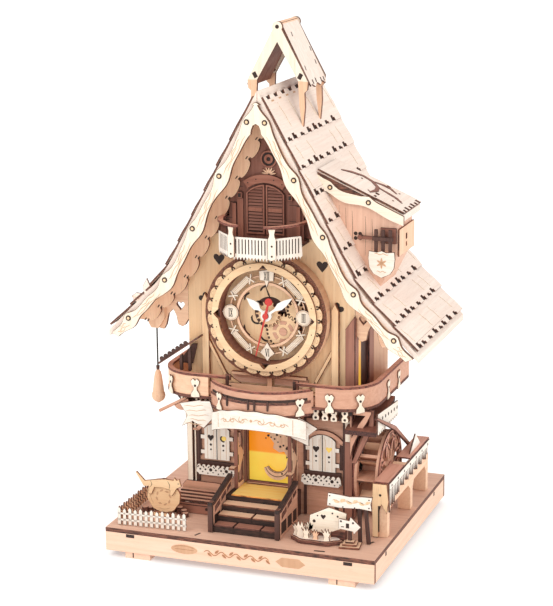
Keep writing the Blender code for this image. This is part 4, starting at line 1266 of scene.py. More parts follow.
def make_turret():
    """Planks, ridge box, inner plates and the studs of the turret's two frames."""
    low, high = span("turret_roof")
    apex = high.z
    pitch = (high.z - low.z) / high.x * 0.99
    norm = math.hypot(1.0, pitch)
    planks = Piece("turret_planks", "blush", "Z")
    tabs = engraving("turret_tabs")
    length = high.y - low.y
    drop = (high.x - 0.6) * norm
    for hand in (1, -1):
        lower = Vector((hand * (high.x + 0.2), low.y if hand > 0 else high.y, apex - pitch * high.x + 1.4))
        climb = Vector((-hand, 0, pitch))
        place = plane(lower, (0, hand, 0), climb)
        edge = []
        for index in range(21):
            u = length * index / 20
            edge.append((u, 1.4 + 1.3 * math.sin(index * 0.95)))
        planks.cut(edge + [(length, drop), (0.0, drop)], place, 1.3)
        for u in (6.0, 13.0, 24.0, 30.0):
            tabs.cut(moved(rect(0.0, 0.0, 1.7, 3.4), u, 3.0 + 0.8 * math.sin(u), -12.0), place, 1.3 + PROUD)
        for u, v in ((4.0, 14.0), (length - 6.0, 16.0), (9.0, drop - 12.0), (length - 4.0, drop * 0.5)):
            tabs.cut(moved(rect(0.0, 0.0, 1.1, 3.6), u, v, -18.0), place, 1.3 + PROUD)
    planks.done("turret_roof")
    tabs.done()
    box = Piece("turret_ridge_box", "tan", "Y")
    ridge = [(-2.6, apex - 3.4), (2.6, apex - 3.4), (2.6, apex + 0.8), (0.0, apex + 1.7),
             (-2.6, apex + 0.8)]
    box.cut(ridge, front(low.y), length, swap=True)
    box.done()
    inner = Piece("turret_inner_plates", "walnut", "Z")
    for hand in (1, -1):
        lower = Vector((hand * (high.x - 4.6), low.y if hand > 0 else high.y, apex - pitch * high.x + 2.4))
        climb = Vector((-hand, 0, pitch))
        inner.cut(rect(0.3, 0.0, length - 0.3, drop * 0.84), plane(lower, (0, hand, 0), climb), 1.0)
    inner.done()
    studs = engraving("turret_studs")
    eyes = engraving("turret_finial_eyes")
    for node in ("turret_front_frame", "turret_rear_frame"):
        frame_low, frame_high = span(node)
        for hand in (1, -1):
            spot = moved(rect(-1.5, -2.2, 1.5, 2.2), hand * 17.6, 352.8, hand * -28.0)
            studs.cut(spot, front(frame_low.y - PROUD), frame_high.y - frame_low.y + 2 * PROUD)
        outline = disc(0.0, frame_high.z - 3.9, 1.5, 12)
        eyes.cut(outline, front(frame_low.y - PROUD), frame_high.y - frame_low.y + 2 * PROUD)
        tone_turret_legs(node)
    close(studs, eyes)


def tone_turret_legs(node):
    """The frames' legs are tan below the cream rafters."""
    data = NODES[node].data
    for material in wood("tan", "Z"):
        data.materials.append(material)
    for polygon in data.polygons:
        x, _, z = polygon.center / MM
        if z < 345.0 and abs(x) < 22.6:
            polygon.material_index += 2


# --- balcony ----------------------------------------------------------------------


BOW_CENTRE = -12.0
BOW_OUTER = 50.4


def bow_spot(x, reach=BOW_OUTER):
    """Point and azimuth on the round front of the balcony."""
    angle = math.asin(x / reach)
    return x, BOW_CENTRE - reach * math.cos(angle), math.degrees(angle)


def turned(wide, tall):
    """Outline of a cut baluster: foot, waist, shoulder and a notched head."""
    half = [(0.0, 0.0), (0.5, 0.03), (0.46, 0.22), (0.2, 0.4), (0.2, 0.52), (0.42, 0.68), (0.5, 0.86),
            (0.2, 1.0)]
    return mirrored([(u * wide, v * tall) for u, v in half + [(0.0, 0.9)]])


def rail_run(offset):
    """Plan of the straight rails: left end to the bow, and from the bow round the right corner."""
    corner = arc(56.0, -14.0, 28.2 + offset, -90.0, 0.0, 10)
    right = [(25.0, -42.1 - offset)] + corner + [(84.1 + offset, 60.0)]
    return [(-u, v) for u, v in right], right


def make_balcony():
    """Handrails, foot strips, balusters, brackets, corbels and beams of the large balcony."""
    foot, top = [corner.z for corner in span("balcony_left_railing")]
    bow_low, bow_top = [corner.z for corner in span("balcony_front_railing")]
    rails = Piece("balcony_handrails", "rosy", "X")
    feet = Piece("balcony_foot_strips", "rose", "X")
    for near, far in zip(rail_run(-3.6), rail_run(0.5)):
        rails.cut(band(near, far), flat(top), 1.8)
    for near, far in zip(rail_run(-0.4), rail_run(0.6)):
        feet.cut(band(near, far), flat(foot - 0.2), 2.4)
    bow = (219.0, 321.0, 20)
    rails.cut(band(arc(0, BOW_CENTRE, 47.4, *bow), arc(0, BOW_CENTRE, 50.6, *bow)), flat(bow_top), 1.8)
    for z in (bow_low - 1.4, bow_low + 8.6):
        feet.cut(band(arc(0, BOW_CENTRE, 49.6, *bow), arc(0, BOW_CENTRE, 51.0, *bow)), flat(z), 2.0)
    close(rails, feet)
    turn = (222.0, 318.0, 18)
    shade = band(arc(0, BOW_CENTRE, 49.8, *turn), arc(0, BOW_CENTRE, 50.5, *turn))
    trim("balcony_shadow_band", "dark", flat(bow_low + 10.6), 2.0, shade, grain="X", halo=0)
    sticks = Piece("balcony_balusters", "cream", "Z")
    spots = engraving("balcony_baluster_dots")
    places = [(-75.0, -37.4, -42.0, 113.0, 15.0), (-52.5, -43.6, 0.0, 113.6, 15.0),
              (53.7, -43.6, 0.0, 111.6, 15.0)]
    places += [(75.6, -36.8, 42.0, 111.6, 15.0), (85.2, 4.0, 90.0, 112.0, 15.0),
               (85.2, 32.0, 90.0, 112.0, 15.0)]
    places += [(-85.2, 10.0, -90.0, 112.0, 15.0), (-85.2, 40.0, -90.0, 112.0, 15.0)]
    places += [(*bow_spot(-29.0, 51.6), 109.4, 14.0), (*bow_spot(33.6, 51.6), 109.4, 14.0)]
    for x, y, azimuth, z, tall in places:
        sticks.cut(turned(7.6, tall), facing(x, y, z, azimuth), 1.2)
        spots.cut(disc(0.0, tall * 0.62, 1.0, 10), facing(x, y, z, azimuth), -PROUD)
    close(sticks, spots)
    ribs = Piece("balcony_ribs", "dark", "Z")
    rib = [(-0.7, 0.0), (0.7, 0.0), (1.1, 4.5), (0.5, 8.0), (-0.7, 8.0)]
    for x in (-21.5, -3.0, 2.0, 12.0):
        x, y, azimuth = bow_spot(x, 51.4)
        ribs.cut(rib, facing(x, y, bow_low + 4.4, azimuth), 1.2)
    for x in (-27.6, 25.2):
        ribs.cut(rect(0.0, 0.0, 2.0, 13.5), facing(x, -43.6, 119.6, 0.0), 1.6)
    ribs.done()
    brackets = Piece("balcony_stepped_brackets", "rosewalnut", "Z")
    stair = [(0.0, 0.0), (4.4, 0.0), (4.4, 4.0), (2.4, 4.0), (2.4, 8.0), (4.4, 8.0), (4.4, 12.6),
             (0.0, 12.6)]
    for x, hand in ((-29.0, 1), (29.0, -1)):
        brackets.cut(flip(stair, hand), facing(x, -41.2, 121.0, 0.0), 1.6)
    brackets.done()
    bones = Piece("balcony_corbels", "cream", "Z")
    holes = engraving("balcony_corbel_holes")
    half = [(0.0, 0.0), (2.6, 0.4), (2.8, 3.0), (1.8, 4.8), (2.8, 6.6), (2.6, 9.2), (0.0, 9.6)]
    for x in (-52.0, -44.6, 41.4, 48.6, 55.4, -64.0, 64.0):
        bones.cut(mirrored(half), facing(x, -38.4, 103.6, 0.0), 5.0)
        for v in (2.2, 7.2):
            holes.cut(disc(0.0, v, 1.05, 10), facing(x, -38.4, 103.6, 0.0), -PROUD)
    close(bones, holes)
    beams = Piece("balcony_beams", "dark", "X", halo=0)
    for sign in (-1, 1):
        beams.cut(flip(rect(30.0, 103.0, 62.0, 112.8), sign), front(-33.0), 1.2)
        beams.cut(rect(-37.0, 108.8, 62.0, 112.8), side(sign * 66.0), 3.0)
    beams.cut(rect(-30.0, 106.0, 30.0, 112.8), front(-45.0), 1.2)
    knee = [(64.0, 92.0), (66.0, 92.0), (80.0, 110.0), (80.0, 112.8), (64.0, 112.8)]
    for y in (-20.0, 4.0, 28.0, 52.0):
        for sign in (1, -1):
            beams.cut(flip(knee, sign), front(y), 2.4)
    beams.done()
    make_canopy(top)


def make_canopy(top):
    """Left bay on the balcony, a sloping board on two legs with a scalloped crest; and what is under it."""
    tilt = Vector((33.0, 0.0, 23.0))
    corner = Vector((-86.0, -34.0, 134.0))
    trim("canopy_board", "blush", plane(corner, tilt, (0, 1, 0)), 1.5, rect(0.0, 0.0, 40.2, 12.0),
         grain="X")
    crest = Piece("canopy_crest", "dark", "X")
    teeth = [(2.0, 0.0)]
    for index in range(7):
        teeth += arc(4.2 + index * 4.0, 1.6, 1.7, 180.0, 0.0, 4)
    teeth += [(30.2, 0.0)]
    crest.cut(teeth, plane(corner + Vector((0, -0.6, 1.2)), tilt, (-23, 0, 33), (0, 1, 0)), 1.6)
    for x, height in ((-70.0, 8.4), (-63.0, 13.2)):
        outline = [(x, top), (x + 2.2, top), (x + 2.2, 133.0 + height + 1.4), (x, 133.0 + height)]
        crest.cut(outline, front(-31.0), 2.4)
    crest.cut([(-74.0, 134.0), (-62.0, 134.0), (-58.0, 150.0), (-62.0, 150.0)], front(-24.0), 1.2)
    crest.done()
    spigot = Piece("balcony_spigot", "rose", "X")
    spigot.tube([(-84.5, -38.0, 98.5), (-62.0, -38.0, 111.0)], 1.25)
    spigot.cut(arc(-66.0, 107.6, 6.4, -150.0, 30.0, 14), front(-39.4), 2.0)
    spigot.done()
    left = [(-66.5, 92.0), (-61.0, 92.0), (-61.5, 104.0), (-58.6, 112.6), (-66.5, 112.6)]
    right = [(66.5, 86.0), (61.4, 86.0), (61.4, 100.0), (57.0, 112.6), (66.5, 112.6)]
    trim("left_bracket_post", "cream", front(-30.0), 2.6, left, right)


# --- banner and ground floor ------------------------------------------------------


LEFT_TAIL_Y = -43.6
RIGHT_TAIL_Y = -39.6
BANNER_REACH = math.radians(46.0)  # the ribbon goes this far round the bow to each side


def make_banner():
    low = span("welcome_banner")[0]
    radius = BOW_CENTRE - low.y

    def bow(point):
        """Bends the flat ribbon round the balcony, and lets its ends hang lower."""
        angle = point.x / radius
        drop = -9.0 * (point.x / (radius * BANNER_REACH)) ** 2
        reach = radius - point.z
        return Vector((reach * math.sin(angle), BOW_CENTRE - reach * math.cos(angle),
                       low.z + 9.0 + point.y + drop))

    half = BANNER_REACH * radius - 0.3
    across = [half * (k / 16 - 1) for k in range(33)]
    lower = [(u, 0.0) for u in across]
    upper = [(u, 14.5 + 0.35 * math.sin(u * 0.4)) for u in across]
    cloth = Piece("banner_ribbon", "white", "X")
    cloth.strip(lower, upper, 1.5, bow)
    cloth.done("welcome_banner")
    scroll = engraving("banner_scrolls", "faint", "X")
    for sign in (-1, 1):
        for start, size in ((7.0, 3.0), (15.5, 2.4), (23.0, 2.0)):
            curl = []
            for k in range(9):
                u = start + size * 0.3 * k * math.cos(k * 0.9) * 0.5
                curl.append((u, 7.2 + size * 0.28 * k * math.sin(k * 0.9) * 0.5))
            scroll.cut(ribbon(flip(curl, sign), 0.55), None, -PROUD, bend=bow)
        stem = wavy((2.0, 7.0), (28.0, 7.0), 20, 1.4, 2.5)
        scroll.cut(ribbon(flip(stem, sign), 0.5), None, -PROUD, bend=bow)
        scroll.cut(flip(rect(31.0, 1.6, 31.4, 13.0), sign), None, -PROUD, bend=bow)
    scroll.cut(moved(disc(0.0, 0.0, 1.3, 4), 0.0, 7.2), None, -PROUD, bend=bow)
    scroll.done()
    tails = Piece("banner_tails", "white", "X")
    folds = engraving("banner_folds", "faint", "X")
    outline = [(-65.6, 108.0), (-48.0, 112.0), (-40.0, 106.0), (-38.0, 99.0), (-46.0, 90.0), (-55.0, 94.6),
               (-64.0, 90.0), (-59.4, 99.0)]
    tails.cut(outline, front(LEFT_TAIL_Y), 1.4)
    outline = [(-48.0, 112.0), (-40.0, 112.6), (-36.0, 101.0), (-38.0, 97.0), (-44.0, 106.0)]
    tails.cut(outline, front(-45.2), 1.4)
    outline = [(28.0, 105.6), (43.4, 97.6), (36.4, 91.6), (36.4, 83.0), (22.0, 88.4)]
    tails.cut(outline, front(RIGHT_TAIL_Y), 1.4)
    left_folds = (
        (-62.0, 106.0, -45.0, 108.0), (-60.0, 102.6, -43.0, 104.4), (-58.0, 99.0, -42.0, 100.6),
        (-57.0, 96.4, -44.0, 96.0), (-60.0, 93.0, -47.0, 92.4),
    )
    right_folds = ((26.0, 102.0, 36.0, 97.0), (27.0, 97.0, 35.0, 92.0), (28.0, 92.0, 34.0, 88.0))
    for y, runs in ((LEFT_TAIL_Y, left_folds), (RIGHT_TAIL_Y, right_folds)):
        for u0, v0, u1, v1 in runs:
            folds.cut(ribbon(wavy((u0, v0), (u1, v1), 6, 0.4), 0.45), front(y - PROUD), 0.3)
    close(tails, folds)


def make_windows():
    """Shutters, lintel and frame of both windows."""
    for word, cx in (("left", -42.5), ("right", 42.5)):
        node = f"{word}_window_shutters"
        low, high = span(node)
        stain_node(node, "white", "Z")
        face = low.y - PROUD
        # The centre line is the dark joint between the two leaves; the hearts and dots are cut-outs filled
        # with painted shade, the dark seen through the holes.
        dark = [rect(cx - 0.35, low.z, cx + 0.35, high.z - 0.2)]
        dark += [heart(cx - 5.0, 77.0, 4.4), disc(cx - 5.0, 71.4, 0.95, 10), disc(cx - 5.0, 67.6, 0.7, 8)]
        dark += [disc(cx + 5.2, 71.4, 0.95, 10), disc(cx + 5.2, 67.6, 0.7, 8)]
        if cx < 0:
            dark.append(ribbon(arc(cx + 5.6, 77.0, 2.3, 120.0, 290.0, 8), 1.3))
        burn(f"{word}_shutter_cutouts", front(face), *dark)
        lines = [rect(cx + s - 0.15, low.z + 0.4, cx + s + 0.15, low.z + 25.5)
                 for s in (-7.6, -2.6, 2.6, 7.6)]
        lines += [rect(cx + s - 0.1, low.z + 0.4, cx + s + 0.1, low.z + 27) for s in (-1.4, 1.4)]
        burn(f"{word}_shutter_lines", front(face + 0.05), *lines, stain="faint")
        opening = heart(cx + 5.2, 77.2, 4.0) if cx > 0 else disc(cx + 5.8, 77.2, 1.9, 14)
        lit = trim(f"{word}_shutter_light", "cream", front(face - 0.05), 0.3, opening, halo=0)
        paint(lit, bpy.data.materials["amber_panel"])
        arch = arc(cx, 70.5, 21.6, 38.0, 142.0, 16) + arc(cx, 70.5, 18.4, 142.0, 38.0, 16)
        feet = [(cx + u, v) for u, v in ((17.0, 83.6), (19.6, 83.6), (19.6, 81.8), (14.5, 81.8))]
        far_feet = [(2 * cx - u, v) for u, v in feet]
        trim(f"{word}_window_lintel", "rose", front(-26.6), 2.3, arch, feet, far_feet, grain="X")
        jambs = (rect(cx - 15.5, 61.5, cx - 13.2, 83.0), rect(cx + 13.2, 61.5, cx + 15.5, 83.0))
        trim(f"{word}_window_frame", "dark", front(-24.9), 0.6, *jambs, halo=0)
        make_window_box(word, cx)


def make_window_box(word, cx):
    z0 = 47.5 if cx < 0 else 49.0
    wide = 16.2
    box_y = -29.6
    edge = [(cx - wide, z0 + 2.2), (cx - wide + 2.0, z0 + 1.0), (cx - wide + 2.2, z0)]
    edge += [(cx + wide - 2.2, z0), (cx + wide - 2.0, z0 + 1.0), (cx + wide, z0 + 2.2),
             (cx + wide - 0.6, z0 + 6.0)]
    for index in range(8):
        mid = cx + 13.6 - index * 3.9
        edge += arc(mid, z0 + 7.0, 1.75, 0.0, 180.0, 4)
    edge += [(cx - wide + 0.6, z0 + 6.0)]
    trim(f"{word}_window_box", "white", front(box_y), 1.5, edge, grain="X")
    dots = []
    for index in range(7):
        u = cx - 12.8 + index * 4.3
        big = index in (2, 5)
        dots += [disc(u, z0 + 4.6, 1.35 if big else 0.75, 10),
                 disc(u + 2.0, z0 + (1.7 if index % 2 else 2.6), 0.55, 8)]
        dots.append(moved(rect(-0.35, -0.9, 0.35, 0.9), u - 1.6, z0 + 6.6, 40 if index % 2 else -40))
    burn(f"{word}_window_box_holes", front(box_y - PROUD), *dots)
    trim(f"{word}_window_box_body", "rose", flat(z0 + 0.4), 5.4, rect(cx - 14.5, -28.0, cx + 14.5, -24.2),
         grain="X")
    trim(f"{word}_window_shade", "dark", front(-26.2), 1.6, rect(cx - 14.5, z0 + 5.8, cx + 14.5, z0 + 10.4),
         grain="X", halo=0)


DECK_LEVEL = 23.3  # just over the base deck's upper face
GROUND_TOP = 112.6  # just under the balcony deck


def make_ground_floor():
    """Corner posts, side panels, brackets and the lace of the water chute."""
    corner = Piece("ground_corner_posts", "cream", "Z")
    corner.cut(rect(-66.6, DECK_LEVEL, -62.2, GROUND_TOP), front(-27.2), 3.0)
    corner.cut(rect(-24.0, DECK_LEVEL, -8.0, GROUND_TOP), side(-66.6), 2.4)
    corner.cut(rect(-61.2, 24.0, -59.6, 96.0), front(-26.0), 1.8)
    corner.done()
    trim("ground_corner_shade", "dark", front(-25.4), 1.2, rect(-62.0, DECK_LEVEL, -57.2, GROUND_TOP),
         rect(27.4, 24.0, 29.4, 100.0), halo=0)
    right = Piece("ground_right_posts", "rosewalnut", "Z")
    right.cut(rect(59.0, DECK_LEVEL, 66.4, GROUND_TOP), front(-27.2), 3.0)
    right.cut(rect(-24.0, DECK_LEVEL, -17.0, GROUND_TOP), side(63.8), 2.6)
    right.cut(rect(34.0, DECK_LEVEL, 44.0, GROUND_TOP), side(63.8), 2.4)
    right.done()
    trim("ground_right_gap", "dark", front(-27.2 - PROUD), 0.3, rect(59.0, DECK_LEVEL, 60.4, 100.0), halo=0)
    trim("ground_side_panels", "dark", side(63.7), 0.4, rect(-14.0, 24.0, 30.0, 108.0), halo=0)
    bracket = [(66.5, 74.0), (68.5, 84.0), (73.0, 94.0), (79.0, 103.0), (83.0, 111.0), (83.0, 112.7),
               (66.5, 112.7)]
    cut = [(68.0, 92.0), (73.0, 102.0), (78.0, 109.0), (68.0, 109.0)]
    trim("balcony_side_bracket", "rose", front(-34.0), 2.4, bracket, holes=(cut,))
    strut = [(66.6, 70.0), (70.2, 70.0), (84.0, 101.0), (84.0, 112.7), (80.4, 112.7), (80.4, 103.0)]
    trim("balcony_side_strut", "rosewalnut", front(-30.6), 2.4, strut)
    lattice = [disc(-34.0 + index * 7.6, 107.2 - index * 0.6, 1.3, 10) for index in range(7)]
    edge = [(-38.0, 97.0)]
    for index in range(12):
        edge += arc(-36.0 + index * 4.4, 98.2, 2.1, 180.0, 360.0, 4)
    edge += [(15.0, 108.0), (-38.0, GROUND_TOP)]
    trim("chute_lace", "white", side(88.1), 1.3, edge, grain="Y")
    burn("chute_lace_holes", side(89.4), *lattice, depth=PROUD)
    strut = [(-49.5, 112.4), (-45.5, GROUND_TOP), (2.0, 92.0), (41.0, 66.6), (40.0, 64.0), (0.0, 89.0)]
    trim("chute_strut", "rosewalnut", side(89.6), 2.2, strut, grain="Y")


def make_porch():
    """Stairs, handrails, porch plates and the cut screen in front of the lit door."""
    low, high = span("porch_steps")
    stain_node("porch_steps", "dark", "X", "X")
    treads = Piece("stair_treads", "tan", "X")
    stones = Piece("stair_lowest_tread", "rosewalnut", "X")
    risers = engraving("stair_riser_joints", grain="X")
    floor = Piece("porch_floor", "lit", "X")
    count, going = 4, 9.0
    rise = (high.z - low.z + 0.3) / count
    for index in range(count - 1):
        front_y = low.y + going * index
        z = low.z - 0.3 + rise * (index + 1)
        cuts = ((-24.0, -9.0), (-8.0, 12.0), (13.0, 24.0)) if index == 0 else ((-24.0, 2.0), (3.0, 24.0))
        for a, b in cuts if index < 2 else ((-24.0, 24.0),):
            outline = rect(a, front_y - 0.4, b, front_y + going - 0.4)
            (treads if index else stones).cut(outline, flat(z - 0.1), 1.2)
        for joint in cuts[:-1]:
            risers.cut(rect(joint[1], z - rise + 0.3, joint[1] + 0.8, z), front(front_y - 0.2), 0.4)
    top = low.y + going * (count - 1)
    floor.cut(rect(-20.3, top - 0.4, 20.3, -24.5), flat(high.z - 0.1), 1.1)
    close(floor, treads, stones, risers)
    for x, word in ((-27.5, "left"), (25.0, "right")):
        rail = [(-83.0, 46.2), (-77.0, 46.2), (-40.2, 55.4), (-40.2, 52.8), (-77.5, 43.6), (-83.0, 43.6)]
        trim(f"stair_{word}_handrail", "dark", side(x - 0.7), 3.9, rail, grain="Y")
        low_gaps = [rect(a, 26.0, b, 35.0) for a, b in ((-77.0, -66.0), (-63.0, -54.0), (-51.0, -43.0))]
        burn(f"stair_{word}_gaps", side(x - PROUD), *low_gaps, depth=2.5 + 2 * PROUD)
        trim(f"stair_{word}_newel", "dark", front(-83.2), 2.4, rect(x - 0.6, 23.4, x + 3.1, 44.0))
    for x, word in ((-22.5, "left"), (20.5, "right")):
        slots = [rect(-38.6, z, -37.5, z + 8.0) for z in (48.0, 62.0, 84.0)]
        slots += [disc(-35.0, 76.0, 0.8, 8), disc(-27.0, 66.0, 0.8, 8)]
        burn(f"porch_{word}_slots", side(x - PROUD), *slots, depth=2.0 + 2 * PROUD)
        trim(f"porch_{word}_front_edge", "walnut", front(-40.9), 0.8, rect(x - 0.4, 44.0, x + 2.4, 112.0),
             halo=0)
    trim("porch_grips", "tan", flat(60.0), 1.6, rect(-25.4, -47.0, -20.6, -40.4),
         rect(20.6, -47.0, 25.4, -40.4))
    face = span("tree_moon_screen")[0].y - PROUD
    spots = []
    for k in range(3, 22):
        u, v = 5 + 8.6 * math.sin(k * 2.4), 73.5 + 12.5 * ((k * 7) % 11) / 11
        spots.append(disc(u, v, 0.62 + 0.2 * (k % 3), 6))
    spots = [spot for spot in spots if spot[0][0] < 17.2 and not (spot[0][1] < 80 and spot[0][0] < 6.5)]
    spots += [disc(15.6, 50.0 + 4.4 * k, 0.6, 6) for k in range(6)]
    spots += [disc(13.2, 66.5, 1.0, 3), disc(9.2, 53.0, 0.8, 8)]
    burn("tree_cutouts", front(face), *spots)
    crescent = arc(5.0, 59.6, 9.4, -165.0, -20.0, 12)
    burn("tree_outline", front(face), ribbon(crescent, 0.5),
         ribbon(arc(5.0, 62.0, 8.6, -10.0, -150.0, 10), 0.5))
    posts = (rect(-20.3, 44.4, -18.2, 94.0), rect(18.2, 44.4, 20.3, 94.0))
    rails = (rect(-18.2, 44.2, 18.2, 46.4), rect(-18.2, 90.0, 18.2, 94.0))
    trim("door_trim", "walnut", front(-26.4), 2.0, *posts, *rails)
    trim("door_threshold", "tan", flat(44.0), 1.0, rect(-18.0, -28.6, 18.0, -26.6), grain="X")


# --- yard -------------------------------------------------------------------------


PICKET_HEIGHT = 14.0
PICKET_WIDTH = 2.5


def picket_run(count, pitch):
    """Pointed pickets on two rails, as one outline each."""
    shapes = [rect(0.0, 3.2, count * pitch - 1.2, 5.0), rect(0.0, 8.2, count * pitch - 1.2, 9.8)]
    for index in range(count):
        u = index * pitch
        high = PICKET_HEIGHT - (0.9 if index % 2 else 0.0)
        far = u + PICKET_WIDTH
        point = (u + PICKET_WIDTH / 2, high)
        shapes.append([(u, 0.2), (far, 0.2), (far, high - 1.6), point, (u, high - 1.6)])
    return shapes


def make_yard():
    """Fence, tub with its plate, bench, signs and flower bed."""
    low = span("picket_fence")[0]
    fence = Piece("picket_fence_front", "white", "Z", halo=0.12)
    for shape in picket_run(13, 4.3):
        fence.cut(shape, facing(-98.2, -89.6, low.z, 2.6), 1.3
                  if shape[1][0] < 60 and shape[0][1] < 1 else 1.1)
    fence.done("picket_fence")
    trim("picket_fence_side", "tan", plane((-98.4, -88.0, low.z), (0, 1, 0), (0, 0, 1)), 1.2,
         *[shape for shape in picket_run(15, 4.4)])
    plate_y = -62.0
    plate = Piece("cat_plate", "sand", "X")
    round_edge = []
    for k in range(36):
        angle = k * math.pi / 18
        reach = 13.6 + 0.35 * math.sin(k * 1.7)
        round_edge.append((-72.5 + reach * math.cos(angle), 39.4 + reach * math.sin(angle)))
    plate.cut(round_edge, front(plate_y), 2.0)
    plate.cut(rect(-80.0, 23.4, -66.0, 26.5), front(plate_y - 3.0), 8.0)
    plate.done()
    sheen = [ribbon(arc(-72.5, 39.4, 10.6, a, a + 50.0, 6), 0.4) for a in (10.0, 90.0, 170.0, 250.0)]
    for turn in range(0, 360, 45):
        u, v = arc(-72.5, 38.0, 6.2, turn, turn + 1, 1)[0]
        sheen.append(moved(leaf(3.4, 1.5), u, v, turn + 30.0))
    burn("cat_plate_engraving", front(plate_y - PROUD), *sheen, stain="faint")
    cat = [(-88.0, 46.0), (-94.4, 56.4), (-93.4, 57.4), (-86.8, 50.6), (-80.0, 52.0), (-70.0, 53.6),
           (-63.4, 53.2)]
    cat += [(-62.6, 55.6), (-60.6, 53.4), (-58.4, 54.8), (-57.8, 51.4), (-57.0, 48.8), (-60.6, 46.8),
            (-62.4, 44.0)]
    cat += [(-64.6, 40.6), (-66.8, 40.8), (-66.2, 45.0), (-72.0, 46.2), (-79.0, 45.8), (-81.6, 40.0),
            (-84.0, 40.4), (-83.6, 46.4)]
    trim("cat_figure", "sand", front(plate_y - 1.7), 1.5, cat, grain="X")
    haunch = ribbon([(-82.0, 51.0), (-81.0, 48.0), (-82.4, 46.0)], 0.4)
    shoulder = ribbon([(-68.0, 52.0), (-66.4, 49.0), (-66.8, 46.0)], 0.4)
    burn("cat_lines", front(plate_y - 1.7 - PROUD), disc(-59.4, 50.8, 0.4, 8), haunch, shoulder)
    stones = Piece("tub_stones", "rose", "X")
    for index in range(8):
        angle = math.pi * (0.05 + index / 8)
        outline = disc(-73.0 + 17.0 * math.cos(angle), -60.0 + 9.0 * math.sin(angle), 2.6, 9)
        stones.cut(outline, flat(23.2), 3.2 + index % 3)
    stones.done()
    make_bench()
    make_sign()
    make_flowers()


def make_bench():
    seat = Piece("bench_slats", "rose", "X")
    for index, y in enumerate((-48.0, -43.4, -38.8, -34.2)):
        outline = [(-70.0, 0.0), (-39.0, 0.0), (-37.0, 2.0), (-39.0, 3.6), (-70.0, 3.6)]
        seat.cut(outline, plane((0, y, 31.6 + index * 0.9), (1, 0, 0), (0, 1, 0)), 1.6)
    outline = mirrored([(0.0, 31.0), (17.0, 31.0), (17.0, 38.0), (14.0, 41.4)])
    seat.cut(outline, facing(-53.5, -29.0, 0, 0.0), 1.8)
    seat.done()
    box = Piece("bench_box", "rosewalnut", "X")
    box.cut(rect(-70.0, DECK_LEVEL, -36.6, 31.4), front(-50.0), 1.6)
    box.cut(rect(-48.0, DECK_LEVEL, -29.0, 31.4), side(-38.2), 1.6)
    box.cut(rect(-48.0, DECK_LEVEL, -29.0, 31.4), side(-70.0), 1.6)
    box.done()
    burn("bench_holes", front(-50.0 - PROUD), disc(-42.4, 27.6, 1.2, 12), rect(-69.0, 29.6, -37.6, 30.2))


SIGN_Y = -71.0
PLANTER_Y = -74.0
ARROW_Y = -78.0


def make_sign():
    board = [(60.6, 50.4), (61.6, 60.6), (70.0, 60.0), (78.0, 59.2), (88.0, 60.2), (95.5, 60.4),
             (94.2, 55.0), (95.0, 49.8), (86.0, 50.6), (70.0, 49.6)]
    trim("yard_sign", "white", front(SIGN_Y), 1.6, board, grain="X")
    sprigs = []
    for index in range(6):
        u = 66.0 + index * 4.8
        sprigs.append(moved(leaf(4.4, 2.2), u, 55.2, -70.0 if index % 2 else -110.0))
    sprigs.append(ribbon(wavy((64.5, 55.0), (92.0, 55.2), 14, 0.8, 3.0), 0.5))
    burn("yard_sign_sprig", front(SIGN_Y - PROUD), *sprigs, stain="sand")
    nails = ((63.0, 58.4), (63.0, 52.0), (92.8, 58.2), (92.8, 52.0), (73.0, 50.8), (82.0, 51.0))
    dots = [disc(u, v, 0.55, 8) for u, v in nails]
    burn("yard_sign_nails", front(SIGN_Y - PROUD), *dots)
    leg_sides = ((84.0, 87.0, 86.2, 83.6), (90.4, 93.6, 90.8, 88.2), (66.0, 69.0, 69.0, 66.0))
    legs = [[(a, 23.4), (b, 23.4), (c, 51.0), (d, 51.0)] for a, b, c, d in leg_sides]
    trim("yard_sign_legs", "dark", front(-69.2), 1.6, *legs)
    planter = [(47.4, 31.0), (48.6, 43.0), (63.0, 50.4), (77.0, 47.0), (76.0, 36.0), (62.0, 30.0)]
    trim("planter_front", "cream", front(PLANTER_Y), 1.5, planter, grain="X")
    trim("planter_body", "rose", flat(23.4), 8.5, rect(50.0, -72.0, 75.0, -66.0), grain="X")
    marks = [heart(59.0, 42.6, 3.2), disc(52.0, 38.6, 1.2, 10), disc(54.6, 43.0, 0.6, 8),
             disc(66.0, 46.0, 0.7, 8), disc(70.0, 44.0, 0.8, 8)]
    burn("planter_holes", front(PLANTER_Y - PROUD), *marks)
    arrow = [(71.6, 36.4), (82.8, 35.4), (83.4, 33.0), (89.0, 39.4), (81.0, 46.6), (80.0, 43.4),
             (72.2, 44.4)]
    trim("arrow_board", "white", front(ARROW_Y), 1.4, arrow, grain="X")
    marks = (disc(73.8, 42.4, 0.8, 8), disc(83.0, 42.0, 0.8, 8))
    marks += (rect(77.6, 37.6, 80.0, 41.2), rect(74.0, 38.0, 76.0, 38.6))
    burn("arrow_marks", front(ARROW_Y - PROUD), *marks)
    trim("arrow_post", "dark", front(-76.5), 2.2, rect(78.6, 26.0, 81.0, 44.0))
    base = Piece("arrow_base", "tan", "X")
    for size, z in ((7.6, 23.2), (5.4, 24.8), (3.4, 26.2)):
        base.cut(moved(rect(-size, -size * 0.8, size, size * 0.8), 80.5, -76.5, 8.0), flat(z), 1.5)
    base.done()


